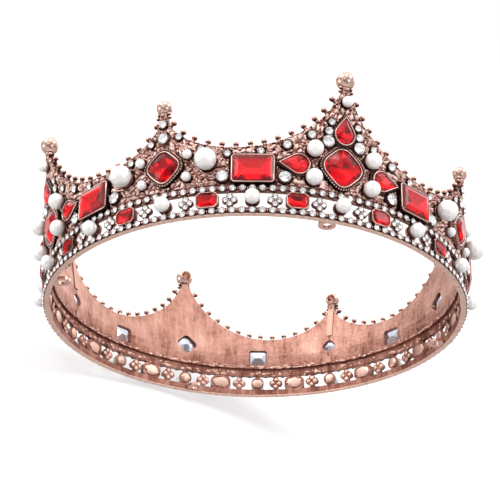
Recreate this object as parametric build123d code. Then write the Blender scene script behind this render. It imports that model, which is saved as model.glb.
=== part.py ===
from build123d import *
import os
from math import sin, cos, tan, pi, radians, degrees, atan, hypot

# ---------------------------------------------------------------------------
# Baroque gem-set crown: four cast quarter panels soldered into one round band,
# with glass stones, rhinestones and half-drilled pearls set on the outside.
# Frame: origin at the centre of the crown on its bottom plane, +Z up,
# -Y is the front (a valley with a large rectangular stone faces -Y).
# Azimuth is measured from -Y towards +X. All sizes in millimetres.
# ---------------------------------------------------------------------------

# ---- driving dimensions ---------------------------------------------------
RIM_R = 80.0            # outer radius of the bottom rim
RIM_IN = 78.0           # inner radius of rim and openwork band
RAIL_R = 79.6           # outer radius of the two stone rails
BAND_IN = 78.3          # inner radius of the openwork and the upper rail
WALL_R = 79.4           # outer radius of the solid wall below the flare
WALL_T = 1.9            # wall thickness
FLARE_Z = 18.0          # the wall leans outward above this height
FLARE = 0.17            # outward lean, mm of radius per mm of height
FLARE_DEG = degrees(atan(FLARE))

RIM_TOP = 2.6           # top of the lower rail
RAIL2_BOT, RAIL2_TOP = 8.8, 11.3   # upper rail
WALL_BOT = 12.0         # inside lower edge of the thick wall
LOW_STONE_Z, UP_STONE_Z, BAND_Z = 1.38, 10.0, 5.6

SEAM_GAP_DEG = 0.04     # half of the solder gap between two panels
PANELS = ["front", "right", "rear", "left"]
TALL_AZ, SHORT_AZ = 22.5, 67.5     # azimuth of the first tall and short spike

TALL_TIP_Z, TALL_BALL_Z, TALL_BALL_R = 51.2, 54.8, 3.5
SHORT_TIP_Z, SHORT_BALL_Z, SHORT_BALL_R = 41.0, 44.0, 2.9

STUD_R, STALK_R, STUD_OUT = 1.0, 0.5, 1.75
# stud centres between a tall spike (0) and the next short one (45 degrees)
STUDS = [(3.3, 47.1), (5.2, 42.4), (7.4, 38.6), (10.1, 35.3), (13.1, 32.4), (16.4, 30.2), (19.8, 28.6),
         (23.2, 27.9), (26.8, 27.6), (30.3, 28.0), (33.8, 29.1), (37.3, 31.1), (40.2, 33.8), (42.6, 37.8)]

RAIL_STEP = 2.5         # degrees between two stones of a rail
RAIL_STONE_D, CROSS_STONE_D = 2.2, 2.2
BAND_PEARL_D = 5.5

# stones on a tall spike: (degrees from the spike, height, diameter)
TALL_CLEAR_L = [(-4.0, 29.9, 4.2), (4.2, 29.6, 4.2), (-14.6, 14.4, 4.2), (14.6, 14.4, 4.2)]
TALL_CLEAR_M = [(-3.9, 33.8, 2.8), (4.2, 33.6, 2.8), (-8.2, 31.5, 2.8), (-14.2, 26.8, 2.8), (14.2, 26.8, 2.8)]
TALL_CLEAR_S = [(-3.3, 37.4, 2.3), (3.6, 37.1, 2.3), (8.4, 30.8, 2.3)]
TALL_PEARLS = [(-7.6, 25.8, 6.0), (7.6, 25.8, 6.0), (-7.6, 14.5, 6.0), (7.6, 14.5, 6.0)]
TIP_PEARL = (0.0, 45.6, 4.0)
TOP_PEAR_Z, SIDE_PEAR_AZ, SIDE_PEAR_Z = 34.7, 12.3, 19.8
BIG_CUSHION_Z, SMALL_CUSHION_Z = 20.6, 20.3
# stones on a short spike
SHORT_CLEAR_L = [(-15.0, 14.5, 4.2), (15.0, 14.5, 4.2), (0.0, 31.6, 3.8)]
SHORT_CLEAR_M = [(0.0, 37.0, 2.8)]
SHORT_CLEAR_S = [(-3.5, 30.4, 2.3), (4.0, 31.4, 2.3), (-9.6, 25.7, 2.3), (9.6, 25.7, 2.3)]
SHORT_PEARLS_BIG = [(-11.2, 20.3, 7.8), (11.2, 20.3, 7.8)]
SHORT_PEARLS_SMALL = [(-6.3, 24.0, 3.5), (6.3, 24.0, 3.5), (-6.0, 15.3, 3.5), (6.0, 15.3, 3.5)]
# stones in a valley, (degrees from the tall spike)
VALLEY_CLEAR_S = [(20.6, 24.1, 2.3), (28.8, 23.3, 2.3)]
RECT_Z, RECT_W, RECT_H = 17.1, 14.0, 10.0
RECT_C = 0.6
BEZEL = 0.65            # metal around a large stone
SEAT = 0.6              # a large stone's seat above the wall
BEZEL_H = 1.5           # bezel height above the seat
CLEAR = 0.05            # stone to metal clearance
CUSHION_BIG, CUSHION_SMALL = 12.0, 10.0
PEAR_L, PEAR_W = 10.0, 7.0
OCT_W, OCT_H = 7.2, 5.4
PEG_R, PEG_IN = 0.55, 1.6

LOOP_AZ, LOOP_R, LOOP_HOLE_R, LOOP_C, LOOP_Z0, LOOP_T = 20.0, 3.15, 1.6, 75.3, 0.3, 1.0


def wall_r(z):
    return WALL_R + FLARE * max(0.0, z - FLARE_Z)


def tilt_at(z):
    """Lean of the wall's outward normal at a height, in degrees."""
    if z < 18.0:
        return 0.0
    if z < 22.5:
        return FLARE_DEG / 2
    return FLARE_DEG


def place(az, z, r, tilt=0.0, spin=0.0):
    """Location on the crown: local +Z outward, local X along the wall, local Y up."""
    a, b, s = radians(az), radians(tilt), radians(spin)
    n0, t, u0 = Vector(sin(a), -cos(a), 0), Vector(cos(a), sin(a), 0), Vector(0, 0, 1)
    n = n0 * cos(b) - u0 * sin(b)
    u = u0 * cos(b) + n0 * sin(b)
    x = t * cos(s) + u * sin(s)
    return Plane(origin=n0 * r + u0 * z, x_dir=x, z_dir=n).location


def ring(r0, r1, z0, z1, half=46.0, mid=TALL_AZ):
    """A ring segment around the axis."""
    prof = Plane.XZ * Polyline((r0, z0), (r1, z0), (r1, z1), (r0, z1), close=True)
    face = make_face(prof)
    return Rot(0, 0, mid - 90 - half) * revolve(face, Axis.Z, 2 * half)


def up_post(p, h, r):
    """A round post along local Z of p from -1.0 to h."""
    return p * Pos(0, 0, (h - 1.0) / 2) * Cylinder(r, h + 1.0)


# ---- outlines of the large stones ----------------------------------------
def rect_outline(w, h, c):
    return Polygon((w / 2 - c, h / 2), (-w / 2 + c, h / 2), (-w / 2, h / 2 - c), (-w / 2, -h / 2 + c),
                   (-w / 2 + c, -h / 2), (w / 2 - c, -h / 2), (w / 2, -h / 2 + c), (w / 2, h / 2 - c), align=None)


def cushion_outline(s):
    """A square with soft corners, standing on one corner."""
    return Rot(0, 0, 45) * RectangleRounded(s, s, s * 0.26)


def pear_outline(l, w):
    """A drop with its point at +Y; the blunt end is a circle of the full width."""
    r = w / 2
    cy = -l / 2 + r
    tip = l / 2
    a = (tip - cy)
    k = r * r / a
    hx = r * (1 - (r / a) ** 2) ** 0.5
    arc = ThreePointArc((hx, cy + k), (0, cy - r), (-hx, cy + k))
    ln = Polyline((-hx, cy + k), (0, tip), (hx, cy + k))
    return make_face(arc + ln)


def gem(outline, crown, girdle, table, low):
    """A stone from z=0: pavilion up to low, girdle, then a crown narrowing to a table of the given share."""
    body = extrude(Pos(0, 0, low) * outline, girdle)
    top = loft([Pos(0, 0, low + girdle) * outline, Pos(0, 0, low + girdle + crown) * scale(outline, table)])
    bot = loft([scale(outline, 0.86), Pos(0, 0, low) * outline])
    return body + top + bot


def chaton(d):
    """A round stone standing on z=0 with its table up."""
    r = d / 2
    h0, h1, h2 = 0.28 * d, 0.36 * d, 0.52 * d
    pts = [(0, 0), (0.45 * r, 0), (r, h0), (r, h1), (0.6 * r, h2), (0, h2)]
    return revolve(make_face(Plane.XZ * Polyline(*pts, close=True)), Axis.Z)


def pearl(d):
    """A half-drilled pearl resting on z=0, with its hole down."""
    return Pos(0, 0, d / 2 + CLEAR) * Sphere(d / 2) - Pos(0, 0, PEG_IN / 2 + 0.2) * Cylinder(PEG_R + 0.05, PEG_IN + 0.5)


# ---- one quarter panel, centred on the tall spike at TALL_AZ ---------------
T = TALL_AZ


def ring_profile(pts, half=45.6):
    face = make_face(Plane.XZ * Polyline(*pts, close=True))
    return Rot(0, 0, T - 90 - half) * revolve(face, Axis.Z, 2 * half)


top_z = 60.0
ro = lambda z: wall_r(z)
wall = ring_profile([(WALL_R - WALL_T, WALL_BOT), (BAND_IN, WALL_BOT), (BAND_IN, RAIL2_BOT), (RAIL_R, RAIL2_BOT), (RAIL_R, RAIL2_TOP),
                     (WALL_R, RAIL2_TOP), (WALL_R, FLARE_Z), (ro(top_z), top_z), (ro(top_z) - WALL_T, top_z), (WALL_R - WALL_T, FLARE_Z)])
rim = ring_profile([(RIM_IN, 0), (RIM_R, 0), (RIM_R, 0.12), (RAIL_R, 0.22), (RAIL_R, RIM_TOP), (RIM_IN, RIM_TOP)])


def unroll(d, z):
    """Degrees from a spike and height to the flat pattern plane at that spike."""
    return wall_r(z) * sin(radians(d)), z


def edge_points(sign):
    """Scallop edge from the tall spike's tip (0) to the short one's (45), as (degrees, height)."""
    pts = [(0.9, TALL_TIP_Z + 1.0)] + STUDS + [(44.3, SHORT_TIP_Z + 1.2)]
    out = []
    for i in range(1, len(pts) - 1):
        (d0, z0), (d1, z1), (d, z) = pts[i - 1], pts[i + 1], pts[i]
        r = wall_r(z)
        dx, dz = radians(d1 - d0) * r, z1 - z0
        l = hypot(dx, dz)
        nx, nz = dz / l, -dx / l          # towards the metal side
        if nz > 0:
            nx, nz = -nx, -nz
        out.append((d + degrees(STUD_OUT * nx / r), z + STUD_OUT * nz))
    return out


edge = edge_points(1)
valley = [p for p in edge if p[0] < 22.5][-1], [p for p in edge if p[0] >= 22.5][0]
f = (22.5 - valley[0][0]) / (valley[1][0] - valley[0][0])
valley_z = valley[0][1] + f * (valley[1][1] - valley[0][1])
NECK = 1.25


def spike_blank(points, tip_z, mid, d_lo, d_hi):
    """The flat pattern of a spike, cut through the wall along its own radius."""
    half_r = [(d, z) for d, z in points]
    right = [(NECK, tip_z), (NECK, tip_z - 0.8)] + [unroll(d, z) for d, z in half_r]
    poly_pts = right + [(unroll(22.5, valley_z)[0] + 3.0, valley_z), (unroll(22.5, valley_z)[0] + 3.0, 3.0), (0, 3.0), (0, tip_z)]
    pl = Plane(origin=(0, 0, 0), x_dir=(1, 0, 0), z_dir=(0, -1, 0))
    curve = Spline(*[pl.from_local_coords(Vector(x, y, 0)) for x, y in right[1:] + [(unroll(22.5, valley_z)[0] + 3.0, valley_z)]])
    line = Polyline(*[pl.from_local_coords(Vector(x, y, 0)) for x, y in [poly_pts[-4 + 0], (unroll(22.5, valley_z)[0] + 3.0, 3.0), (0, 3.0), (0, tip_z), (NECK, tip_z), (NECK, tip_z - 0.8)]])
    face = make_face(curve + line)
    half = extrude(face, amount=100, dir=(0, -1, 0))
    return half


b_pts = [p for p in edge if p[0] < 21.0]
a_pts = [(45.0 - p[0], p[1]) for p in reversed(edge) if p[0] > 24.0]
tall_half = spike_blank(b_pts, TALL_TIP_Z, 0, 0, 22.5)
short_half = spike_blank(a_pts, SHORT_TIP_Z, 0, 0, 22.5)


def sector(az0, az1):
    """A wedge of space from az0 to az1 degrees."""
    pts = [(0, 0)] + [(150 * sin(radians(a)), -150 * cos(radians(a))) for a in (az0, (az0 + az1) / 2, az1)]
    return Pos(0, 0, -5) * extrude(make_face(Polyline(*pts, close=True)), 80)


def mirrored(s):
    return mirror(s, Plane.YZ)


blanks = []
for az, half, flip, lo, hi in ((T, tall_half, False, T, T + 22.5), (T, tall_half, True, T - 22.5, T),
                               (T + 45, short_half, True, T + 22.5, T + 45), (T - 45, short_half, False, T - 45, T - 22.5)):
    b = mirrored(half) if flip else half
    b = Rot(0, 0, az) * b
    blanks.append((wall & b) & sector(lo, hi))
upper = blanks[0] + blanks[1] + blanks[2] + blanks[3]
low_wall = wall & (Pos(0, 0, 4) * Box(400, 400, 16.0, align=(Align.CENTER, Align.CENTER, Align.MIN)))
low_wall = low_wall & (Pos(0, 0, 0) * Cylinder(120, 20.0, align=(Align.CENTER, Align.CENTER, Align.MIN)))

adds, cuts = [], []
# ball studs along the edge
for i, ((d, z), (ed, ez)) in enumerate(zip(STUDS, edge)):
    for s in (1, -1):
        r = wall_r(z) - WALL_T / 2
        c = place(T + s * d, z, r)
        e = place(T + s * ed, ez, wall_r(ez) - WALL_T / 2)
        p0, p1 = e.position, c.position
        v = (p1 - p0).normalized()
        adds.append(Pos(*tuple(p1)) * Sphere(STUD_R))
        st = Plane(origin=p0 - v * 0.9, z_dir=v).location * Cylinder(STALK_R, (p1 - p0).length + 0.9, align=(Align.CENTER, Align.CENTER, Align.MIN))
        adds.append(st)

# openwork band: pearl discs, octagon boxes and quatrefoils between the rails
band_r0, band_r1 = BAND_IN + 0.1, 79.3
band_t = band_r1 - band_r0


def slab(az, shape, z=BAND_Z, r0=band_r0, t=band_t):
    return place(az, z, r0) * extrude(shape, t)


def connector(az, w, z0=RIM_TOP - 0.6, z1=RAIL2_BOT + 0.6):
    return place(az, (z0 + z1) / 2, band_r0 + 0.05) * Pos(0, 0, (band_t - 0.15) / 2) * Box(w, z1 - z0, band_t - 0.15)


for k in range(-2, 3):
    az = T + 22.5 * k
    adds.append(slab(az, Circle(2.6)))
    adds.append(connector(az, 1.8))
for k in (-1.5, -0.5, 0.5, 1.5):
    az = T + 22.5 * k
    adds.append(slab(az, rect_outline(OCT_W + 0.9, OCT_H + 0.66, 1.4), t=80.8 - band_r0))
    adds.append(connector(az, 3.0))
    cuts.append(place(az, BAND_Z, 79.5) * extrude(rect_outline(OCT_W + 2 * CLEAR, OCT_H + 2 * CLEAR, 1.25), 4))
for k in range(8):
    az = T - 45 + 5.625 + 11.25 * k
    q = Circle(1.3)
    shape = Pos(1.45, 0) * q + Pos(-1.45, 0) * q + Pos(0, 1.45) * q + Pos(0, -1.45) * q + Rectangle(1.8, 1.8)
    adds.append(slab(az, shape))
    adds.append(connector(az, 0.9))


# bezel boxes of the large stones
def setting(az, z, outline, outer, window, spin=0.0):
    """Adds a bezel box and cuts its seat and its window; the stone's seat plane is at SEAT above the wall."""
    b = tilt_at(z)
    p = place(az, z, wall_r(z) + SEAT, b, spin)
    adds.append(p * Pos(0, 0, -SEAT - 0.9) * extrude(outer, SEAT + 0.9 + BEZEL_H))
    cuts.append(p * extrude(outline, 8))
    if window:
        cuts.append(p * Pos(0, 0, -8) * extrude(window, 9))


big_out = cushion_outline(CUSHION_BIG + 2 * BEZEL)
setting(T, BIG_CUSHION_Z, cushion_outline(CUSHION_BIG + 2 * CLEAR), big_out, Rot(0, 0, 45) * RectangleRounded(7.0, 7.0, 1.9))
for s in (1, -1):
    setting(T + s * 22.5, RECT_Z, rect_outline(RECT_W + 2 * CLEAR, RECT_H + 2 * CLEAR, RECT_C + 0.05), rect_outline(RECT_W + 2 * BEZEL, RECT_H + 2 * BEZEL, RECT_C + 0.38),
            rect_outline(7.6, 6.8, 0.8))
    setting(T + s * SIDE_PEAR_AZ, SIDE_PEAR_Z, pear_outline(PEAR_L + 2 * CLEAR, PEAR_W + 2 * CLEAR), pear_outline(PEAR_L + 2.6 * BEZEL, PEAR_W + 2 * BEZEL),
            None, spin=-90 * s)
setting(T, TOP_PEAR_Z, pear_outline(PEAR_L + 2 * CLEAR, PEAR_W + 2 * CLEAR), pear_outline(PEAR_L + 2.6 * BEZEL, PEAR_W + 2 * BEZEL), None)

# windows in the wall behind the short spikes' stones, cut half in each panel
for s in (1, -1):
    cuts.append(place(T + 45 * s, SMALL_CUSHION_Z, 70, 0) * extrude(Rot(0, 0, 45) * RectangleRounded(4.9, 4.9, 1.6), 11))

# level round seats under the rhinestones and pearls of the wall
seats = []
for d, z, dia in TALL_CLEAR_L + TALL_CLEAR_M + TALL_CLEAR_S:
    seats.append((T + d, z, dia / 2 + 0.2))
for d, z, dia in VALLEY_CLEAR_S:
    seats += [(T + d, z, dia / 2 + 0.2), (T - d, z, dia / 2 + 0.2)]
for d, z, dia in TALL_PEARLS + [TIP_PEARL]:
    seats.append((T + d, z, dia * 0.3))
for d, z, dia in SHORT_CLEAR_L + SHORT_CLEAR_S:
    if d > 0:
        seats.append((T - 45 + d, z, dia / 2 + 0.2))
    elif d < 0:
        seats.append((T + 45 + d, z, dia / 2 + 0.2))
for d, z, dia in SHORT_PEARLS_BIG + SHORT_PEARLS_SMALL:
    seats.append((T - 45 + d if d > 0 else T + 45 + d, z, dia * 0.3))
SEAT_H = 0.45
for az, z, r in seats:
    adds.append(up_post(place(az, z, wall_r(z), tilt_at(z)), SEAT_H, r))

panel = (upper + low_wall + rim).fuse(*adds)
panel = panel.cut(*cuts) if hasattr(panel, "cut") else panel - cuts
panel = panel & sector(T - 45 + SEAM_GAP_DEG, T + 45 - SEAM_GAP_DEG)
solids = sorted(panel.solids(), key=lambda s: -s.volume)
print("panel pieces", [round(s.volume, 2) for s in solids][:6])
panel = solids[0]

os.makedirs("parts", exist_ok=True)


def write(shape, name):
    export_step(shape, "parts/" + name + ".step")


for k, name in enumerate(PANELS):
    write(Rot(0, 0, 90 * k) * panel, name + "_panel")

# ---- everything that repeats around the crown ------------------------------
QUARTERS = [0, 90, 180, 270]


def write_group(name, items):
    write(Compound(children=[s.solid() if hasattr(s, "solid") else s for s in items]), name)


def around(items):
    """Each (azimuth, solid maker) in every quarter."""
    return [m(az + q) for q in QUARTERS for az, m in items]


def surf(z, h=SEAT_H, extra=0.02):
    return lambda az, spin=0.0: place(az, z, wall_r(z), tilt_at(z), spin) * Pos(0, 0, h + extra)


# faceted red stones
big_cushion = gem(cushion_outline(CUSHION_BIG), 1.9, 0.3, 0.58, 0.8)
small_cushion = gem(cushion_outline(CUSHION_SMALL), 1.7, 0.3, 0.58, 0.8)
rectangle = gem(rect_outline(RECT_W, RECT_H, RECT_C), 1.5, 0.3, 0.68, 0.8)
pear = gem(pear_outline(PEAR_L, PEAR_W), 1.2, 0.3, 0.62, 0.8)
octagon = gem(rect_outline(OCT_W, OCT_H, 1.2), 1.0, 0.3, 0.6, 0.6)


def on_seat(az, z, spin=0.0):
    return place(az, z, wall_r(z) + SEAT + 0.35, tilt_at(z), spin)


write_group("large_cushion_stones", [on_seat(TALL_AZ + q, BIG_CUSHION_Z) * big_cushion for q in QUARTERS])
write_group("rectangle_stones", [on_seat(TALL_AZ + s * 22.5 + q, RECT_Z) * rectangle for q in QUARTERS for s in (-1, 1)])
write_group("top_pear_stones", [on_seat(TALL_AZ + q, TOP_PEAR_Z) * pear for q in QUARTERS])
write_group("side_pear_stones", [on_seat(TALL_AZ + s * SIDE_PEAR_AZ + q, SIDE_PEAR_Z, -90 * s) * pear for q in QUARTERS for s in (-1, 1)])
write_group("band_octagon_stones", [place(11.25 + 22.5 * k, BAND_Z, 79.52) * octagon for k in range(16)])

# bezel cups that bridge the seams and hold the short spikes' stones
cup_r = 80.15
cup_tilt = FLARE_DEG / 2
cup_floor = extrude(cushion_outline(CUSHION_SMALL + 2 * BEZEL), SEAT + BEZEL_H - 0.2) - Pos(0, 0, 0.5) * extrude(cushion_outline(CUSHION_SMALL + 2 * CLEAR), 5) \
    - Pos(0, 0, -1) * extrude(Rot(0, 0, 45) * RectangleRounded(5.6, 5.6, 1.4), 3)
write_group("seam_bezel_cups", [place(SHORT_AZ + q, SMALL_CUSHION_Z, cup_r + 0.24, cup_tilt) * cup_floor for q in QUARTERS])
write_group("small_cushion_stones", [place(SHORT_AZ + q, SMALL_CUSHION_Z, cup_r + 0.24, cup_tilt) * Pos(0, 0, 0.85) * small_cushion for q in QUARTERS])

# foil cups behind the stones that show through the windows
foil_t = 0.25


def foil(outline):
    return extrude(outline, foil_t)


write_group("large_cushion_foils", [place(TALL_AZ + q, BIG_CUSHION_Z, wall_r(BIG_CUSHION_Z) + SEAT + 0.03, tilt_at(BIG_CUSHION_Z)) * foil(cushion_outline(CUSHION_BIG - 0.2)) for q in QUARTERS])
write_group("rectangle_foils", [place(TALL_AZ + s * 22.5 + q, RECT_Z, wall_r(RECT_Z) + SEAT + 0.03) * foil(rect_outline(RECT_W - 0.2, RECT_H - 0.2, RECT_C)) for q in QUARTERS for s in (-1, 1)])
write_group("small_cushion_foils", [place(SHORT_AZ + q, SMALL_CUSHION_Z, cup_r + 0.24, cup_tilt) * Pos(0, 0, 0.53) * foil(cushion_outline(CUSHION_SMALL - 0.2)) for q in QUARTERS])

# clear round stones
clear = {"large": [], "medium": [], "small": []}
for q in QUARTERS:
    for key, rows in (("large", TALL_CLEAR_L), ("medium", TALL_CLEAR_M), ("small", TALL_CLEAR_S)):
        for d, z, dia in rows:
            clear[key].append(surf(z)(TALL_AZ + d + q) * chaton(dia))
    for d, z, dia in VALLEY_CLEAR_S:
        for s in (1, -1):
            clear["small"].append(surf(z)(TALL_AZ + s * d + q) * chaton(dia))
    for key, rows in (("large", SHORT_CLEAR_L), ("medium", SHORT_CLEAR_M), ("small", SHORT_CLEAR_S)):
        for d, z, dia in rows:
            clear[key].append(surf(z, SEAT_H if d else 0.05)(SHORT_AZ + d + q) * chaton(dia))
for key in clear:
    write_group(key + "_clear_stones", clear[key])

rail_stone = chaton(RAIL_STONE_D)
write_group("lower_rail_stones", [place(RAIL_STEP * k, LOW_STONE_Z, RAIL_R + 0.03) * rail_stone for k in range(int(360 / RAIL_STEP))])
write_group("upper_rail_stones", [place(RAIL_STEP * k, UP_STONE_Z, RAIL_R + 0.03) * rail_stone for k in range(int(360 / RAIL_STEP))])
cross_stone = chaton(CROSS_STONE_D)
cross = []
for k in range(32):
    p = place(5.625 + 11.25 * k, BAND_Z, band_r1 + 0.02)
    for x, y in ((1.45, 0), (-1.45, 0), (0, 1.45), (0, -1.45)):
        cross.append(p * Pos(x * 1.02, y * 1.02, 0) * chaton(2.0))
write_group("quatrefoil_stones", cross)

# pearls and the pegs they are glued on
pearls = {"band": [], "large": [], "medium": [], "small": [], "tip": []}
pegs = {"band": [], "wall": []}


def peg(h0):
    return Pos(0, 0, 0) * Cylinder(PEG_R, PEG_IN, align=(Align.CENTER, Align.CENTER, Align.MIN))


for k in range(16):
    p = place(22.5 * k, BAND_Z, band_r1)
    pearls["band"].append(p * pearl(BAND_PEARL_D))
    pegs["band"].append(p * peg(0))
for q in QUARTERS:
    for key, az0, rows in (("medium", TALL_AZ, TALL_PEARLS), ("tip", TALL_AZ, [TIP_PEARL]), ("large", SHORT_AZ, SHORT_PEARLS_BIG), ("small", SHORT_AZ, SHORT_PEARLS_SMALL)):
        for d, z, dia in rows:
            p = place(az0 + d + q, z, wall_r(z), tilt_at(z)) * Pos(0, 0, SEAT_H)
            pearls[key].append(p * pearl(dia))
            pegs["wall"].append(p * peg(0))
write_group("band_pearls", pearls["band"])
write_group("large_pearls", pearls["large"])
write_group("medium_pearls", pearls["medium"])
write_group("small_pearls", pearls["small"])
write_group("tip_pearls", pearls["tip"])
write_group("band_pearl_pegs", pegs["band"])
write_group("wall_pearl_pegs", pegs["wall"])


# finial balls, open at the back like the castings they are
def finial(z, r, tip_z, az):
    rr = wall_r(z) - WALL_T / 2
    body = Sphere(r) + Pos(0, 0, tip_z - z) * Cylinder(1.2, z - tip_z, align=(Align.CENTER, Align.CENTER, Align.MIN))
    hollow = Rot(90, 0, 0) * Cylinder(r * 0.6, r + 1, align=(Align.CENTER, Align.CENTER, Align.MAX))
    ball = body - Sphere(r * 0.6) - hollow
    return Rot(0, 0, az) * Pos(0, -rr, z) * ball


write_group("tall_finial_balls", [finial(TALL_BALL_Z, TALL_BALL_R, TALL_TIP_Z, TALL_AZ + q) for q in QUARTERS])
write_group("short_finial_balls", [finial(SHORT_BALL_Z, SHORT_BALL_R, SHORT_TIP_Z, SHORT_AZ + q) for q in QUARTERS])

# flat loops soldered inside the rim, for ribbons, pins or combs
loop = Pos(0, 0, LOOP_Z0) * (Cylinder(LOOP_R, LOOP_T, align=(Align.CENTER, Align.CENTER, Align.MIN)) - Cylinder(LOOP_HOLE_R, LOOP_T, align=(Align.CENTER, Align.CENTER, Align.MIN)))
keep = Cylinder(RIM_IN, 10)
write_group("rim_loops", [(Rot(0, 0, LOOP_AZ + q) * Pos(0, -LOOP_C, 0) * loop) & keep for q in QUARTERS])


# solder along the inside of each seam
def solder(az):
    half = 0.9
    lo = make_face(Plane.XZ * Polyline((WALL_R - WALL_T - 0.35, 12.4), (WALL_R - WALL_T, 12.4), (WALL_R - WALL_T, 15.2), (WALL_R - WALL_T - 0.35, 15.2), close=True))
    z0, z1 = 25.4, 38.5
    hi = make_face(Plane.XZ * Polyline((wall_r(z0) - WALL_T - 0.35, z0), (wall_r(z0) - WALL_T, z0), (wall_r(z1) - WALL_T, z1), (wall_r(z1) - WALL_T - 0.35, z1), close=True))
    rot = Rot(0, 0, az - 90 - half)
    return [rot * revolve(lo, Axis.Z, 2 * half), rot * revolve(hi, Axis.Z, 2 * half)]


write_group("seam_solder", [s for q in QUARTERS for s in solder(SHORT_AZ + q)])
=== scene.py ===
import bpy
import numpy as np
from math import sin, cos, tan, pi, radians, degrees, atan, hypot, sqrt
from mathutils import Vector, Matrix


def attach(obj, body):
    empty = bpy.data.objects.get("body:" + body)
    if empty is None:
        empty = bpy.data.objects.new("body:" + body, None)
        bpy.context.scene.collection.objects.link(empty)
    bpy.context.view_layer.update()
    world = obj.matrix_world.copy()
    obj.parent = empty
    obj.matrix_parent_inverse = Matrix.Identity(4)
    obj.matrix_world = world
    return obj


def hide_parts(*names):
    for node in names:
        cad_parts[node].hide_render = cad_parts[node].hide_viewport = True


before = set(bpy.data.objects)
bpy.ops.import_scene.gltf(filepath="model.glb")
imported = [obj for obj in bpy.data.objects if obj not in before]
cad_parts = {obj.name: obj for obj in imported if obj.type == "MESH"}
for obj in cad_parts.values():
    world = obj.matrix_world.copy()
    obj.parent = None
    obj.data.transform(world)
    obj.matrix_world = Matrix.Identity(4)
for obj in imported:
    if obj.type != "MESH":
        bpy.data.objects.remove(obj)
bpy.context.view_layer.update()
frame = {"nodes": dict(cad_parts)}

MM = 0.001
rng = np.random.default_rng(7)

# ------------------------------------------------------------------ sizes (mm)
WALL_R, WALL_T, FLARE_Z, FLARE = 79.4, 1.9, 18.0, 0.17
FLARE_DEG = degrees(atan(FLARE))
RAIL_R, BAND_R1 = 79.6, 79.3
LOW_Z, UP_Z, BAND_Z = 1.38, 10.0, 5.6
TALL, SHORT = 22.5, 67.5
SEAT, SEAT_H, BEZEL, BEZEL_H = 0.6, 0.45, 0.65, 1.5
STUDS = [(3.3, 47.1), (5.2, 42.4), (7.4, 38.6), (10.1, 35.3), (13.1, 32.4), (16.4, 30.2), (19.8, 28.6),
         (23.2, 27.9), (26.8, 27.6), (30.3, 28.0), (33.8, 29.1), (37.3, 31.1), (40.2, 33.8), (42.6, 37.8)]
STUD_OUT = 1.75
TALL_TIP_Z, SHORT_TIP_Z = 51.2, 41.0
TALL_CLEAR = [(-4.0, 29.9, 4.2), (4.2, 29.6, 4.2), (-14.6, 14.4, 4.2), (14.6, 14.4, 4.2), (-3.9, 33.8, 2.8), (4.2, 33.6, 2.8),
              (-8.2, 31.5, 2.8), (-14.2, 26.8, 2.8), (14.2, 26.8, 2.8), (-3.3, 37.4, 2.3), (3.6, 37.1, 2.3), (8.4, 30.8, 2.3),
              (20.6, 24.1, 2.3), (28.8, 23.3, 2.3), (-20.6, 24.1, 2.3), (-28.8, 23.3, 2.3)]
SHORT_CLEAR = [(-15.0, 14.5, 4.2), (15.0, 14.5, 4.2), (0.0, 31.6, 3.8), (0.0, 37.0, 2.8), (-3.5, 30.4, 2.3), (4.0, 31.4, 2.3), (-9.6, 25.7, 2.3), (9.6, 25.7, 2.3)]
TALL_PEARLS = [(-7.6, 25.8, 6.0), (7.6, 25.8, 6.0), (-7.6, 14.5, 6.0), (7.6, 14.5, 6.0), (0.0, 45.6, 4.0)]
SHORT_PEARLS = [(-11.2, 20.3, 7.8), (11.2, 20.3, 7.8), (-6.3, 24.0, 3.5), (6.3, 24.0, 3.5), (-6.0, 15.3, 3.5), (6.0, 15.3, 3.5)]
QUARTERS = (0, 90, 180, 270)


def wall_r(z):
    return WALL_R + FLARE * np.maximum(0.0, np.asarray(z, float) - FLARE_Z)


def tilt_at(z):
    return 0.0 if z < 18.0 else (FLARE_DEG / 2 if z < 22.5 else FLARE_DEG)


def axes_at(az, z, r, tilt=0.0, spin=0.0):
    """Origin and the three local axes: X along the wall, Y up, N outward."""
    a, b, s = radians(az), radians(tilt), radians(spin)
    n0, t, u0 = np.array([sin(a), -cos(a), 0.0]), np.array([cos(a), sin(a), 0.0]), np.array([0.0, 0.0, 1.0])
    n = n0 * cos(b) - u0 * sin(b)
    u = u0 * cos(b) + n0 * sin(b)
    x = t * cos(s) + u * sin(s)
    y = np.cross(n, x)
    return n0 * r + u0 * z, np.stack([x, y, n])


# ------------------------------------------------------------------ mesh batches
class Batch:
    """Collects small solids into one mesh, with a material index and a tone for each face."""

    def __init__(self):
        self.v, self.f, self.m, self.t, self.n = [], [], [], [], 0

    def add(self, verts, faces, at=None, mats=0, tone=0.5, flip=False):
        v = np.asarray(verts, float)
        if at is not None:
            v = at[0] + v @ at[1]
        self.v.append(v)
        k = self.n
        if flip:
            self.f += [tuple(k + i for i in reversed(f)) for f in faces]
        else:
            self.f += [tuple(k + i for i in f) for f in faces]
        self.m += list(mats) if hasattr(mats, "__len__") else [mats] * len(faces)
        self.t += list(tone) if hasattr(tone, "__len__") else [tone] * len(faces)
        self.n += len(v)

    def make(self, name, mats, slot, smooth=True, replaces=()):
        me = bpy.data.meshes.new(name)
        me.from_pydata((np.concatenate(self.v) * MM).tolist(), [], self.f)
        for m in mats:
            me.materials.append(m)
        me.polygons.foreach_set("material_index", np.array(self.m, np.int32))
        me.polygons.foreach_set("use_smooth", np.full(len(self.f), bool(smooth)))
        at = me.attributes.new("tone", "FLOAT", "FACE")
        at.data.foreach_set("value", np.array(self.t, np.float32))
        me.update()
        ob = bpy.data.objects.new(name, me)
        bpy.context.scene.collection.objects.link(ob)
        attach(ob, "root")
        if replaces:
            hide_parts(*replaces)
        return ob


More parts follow.
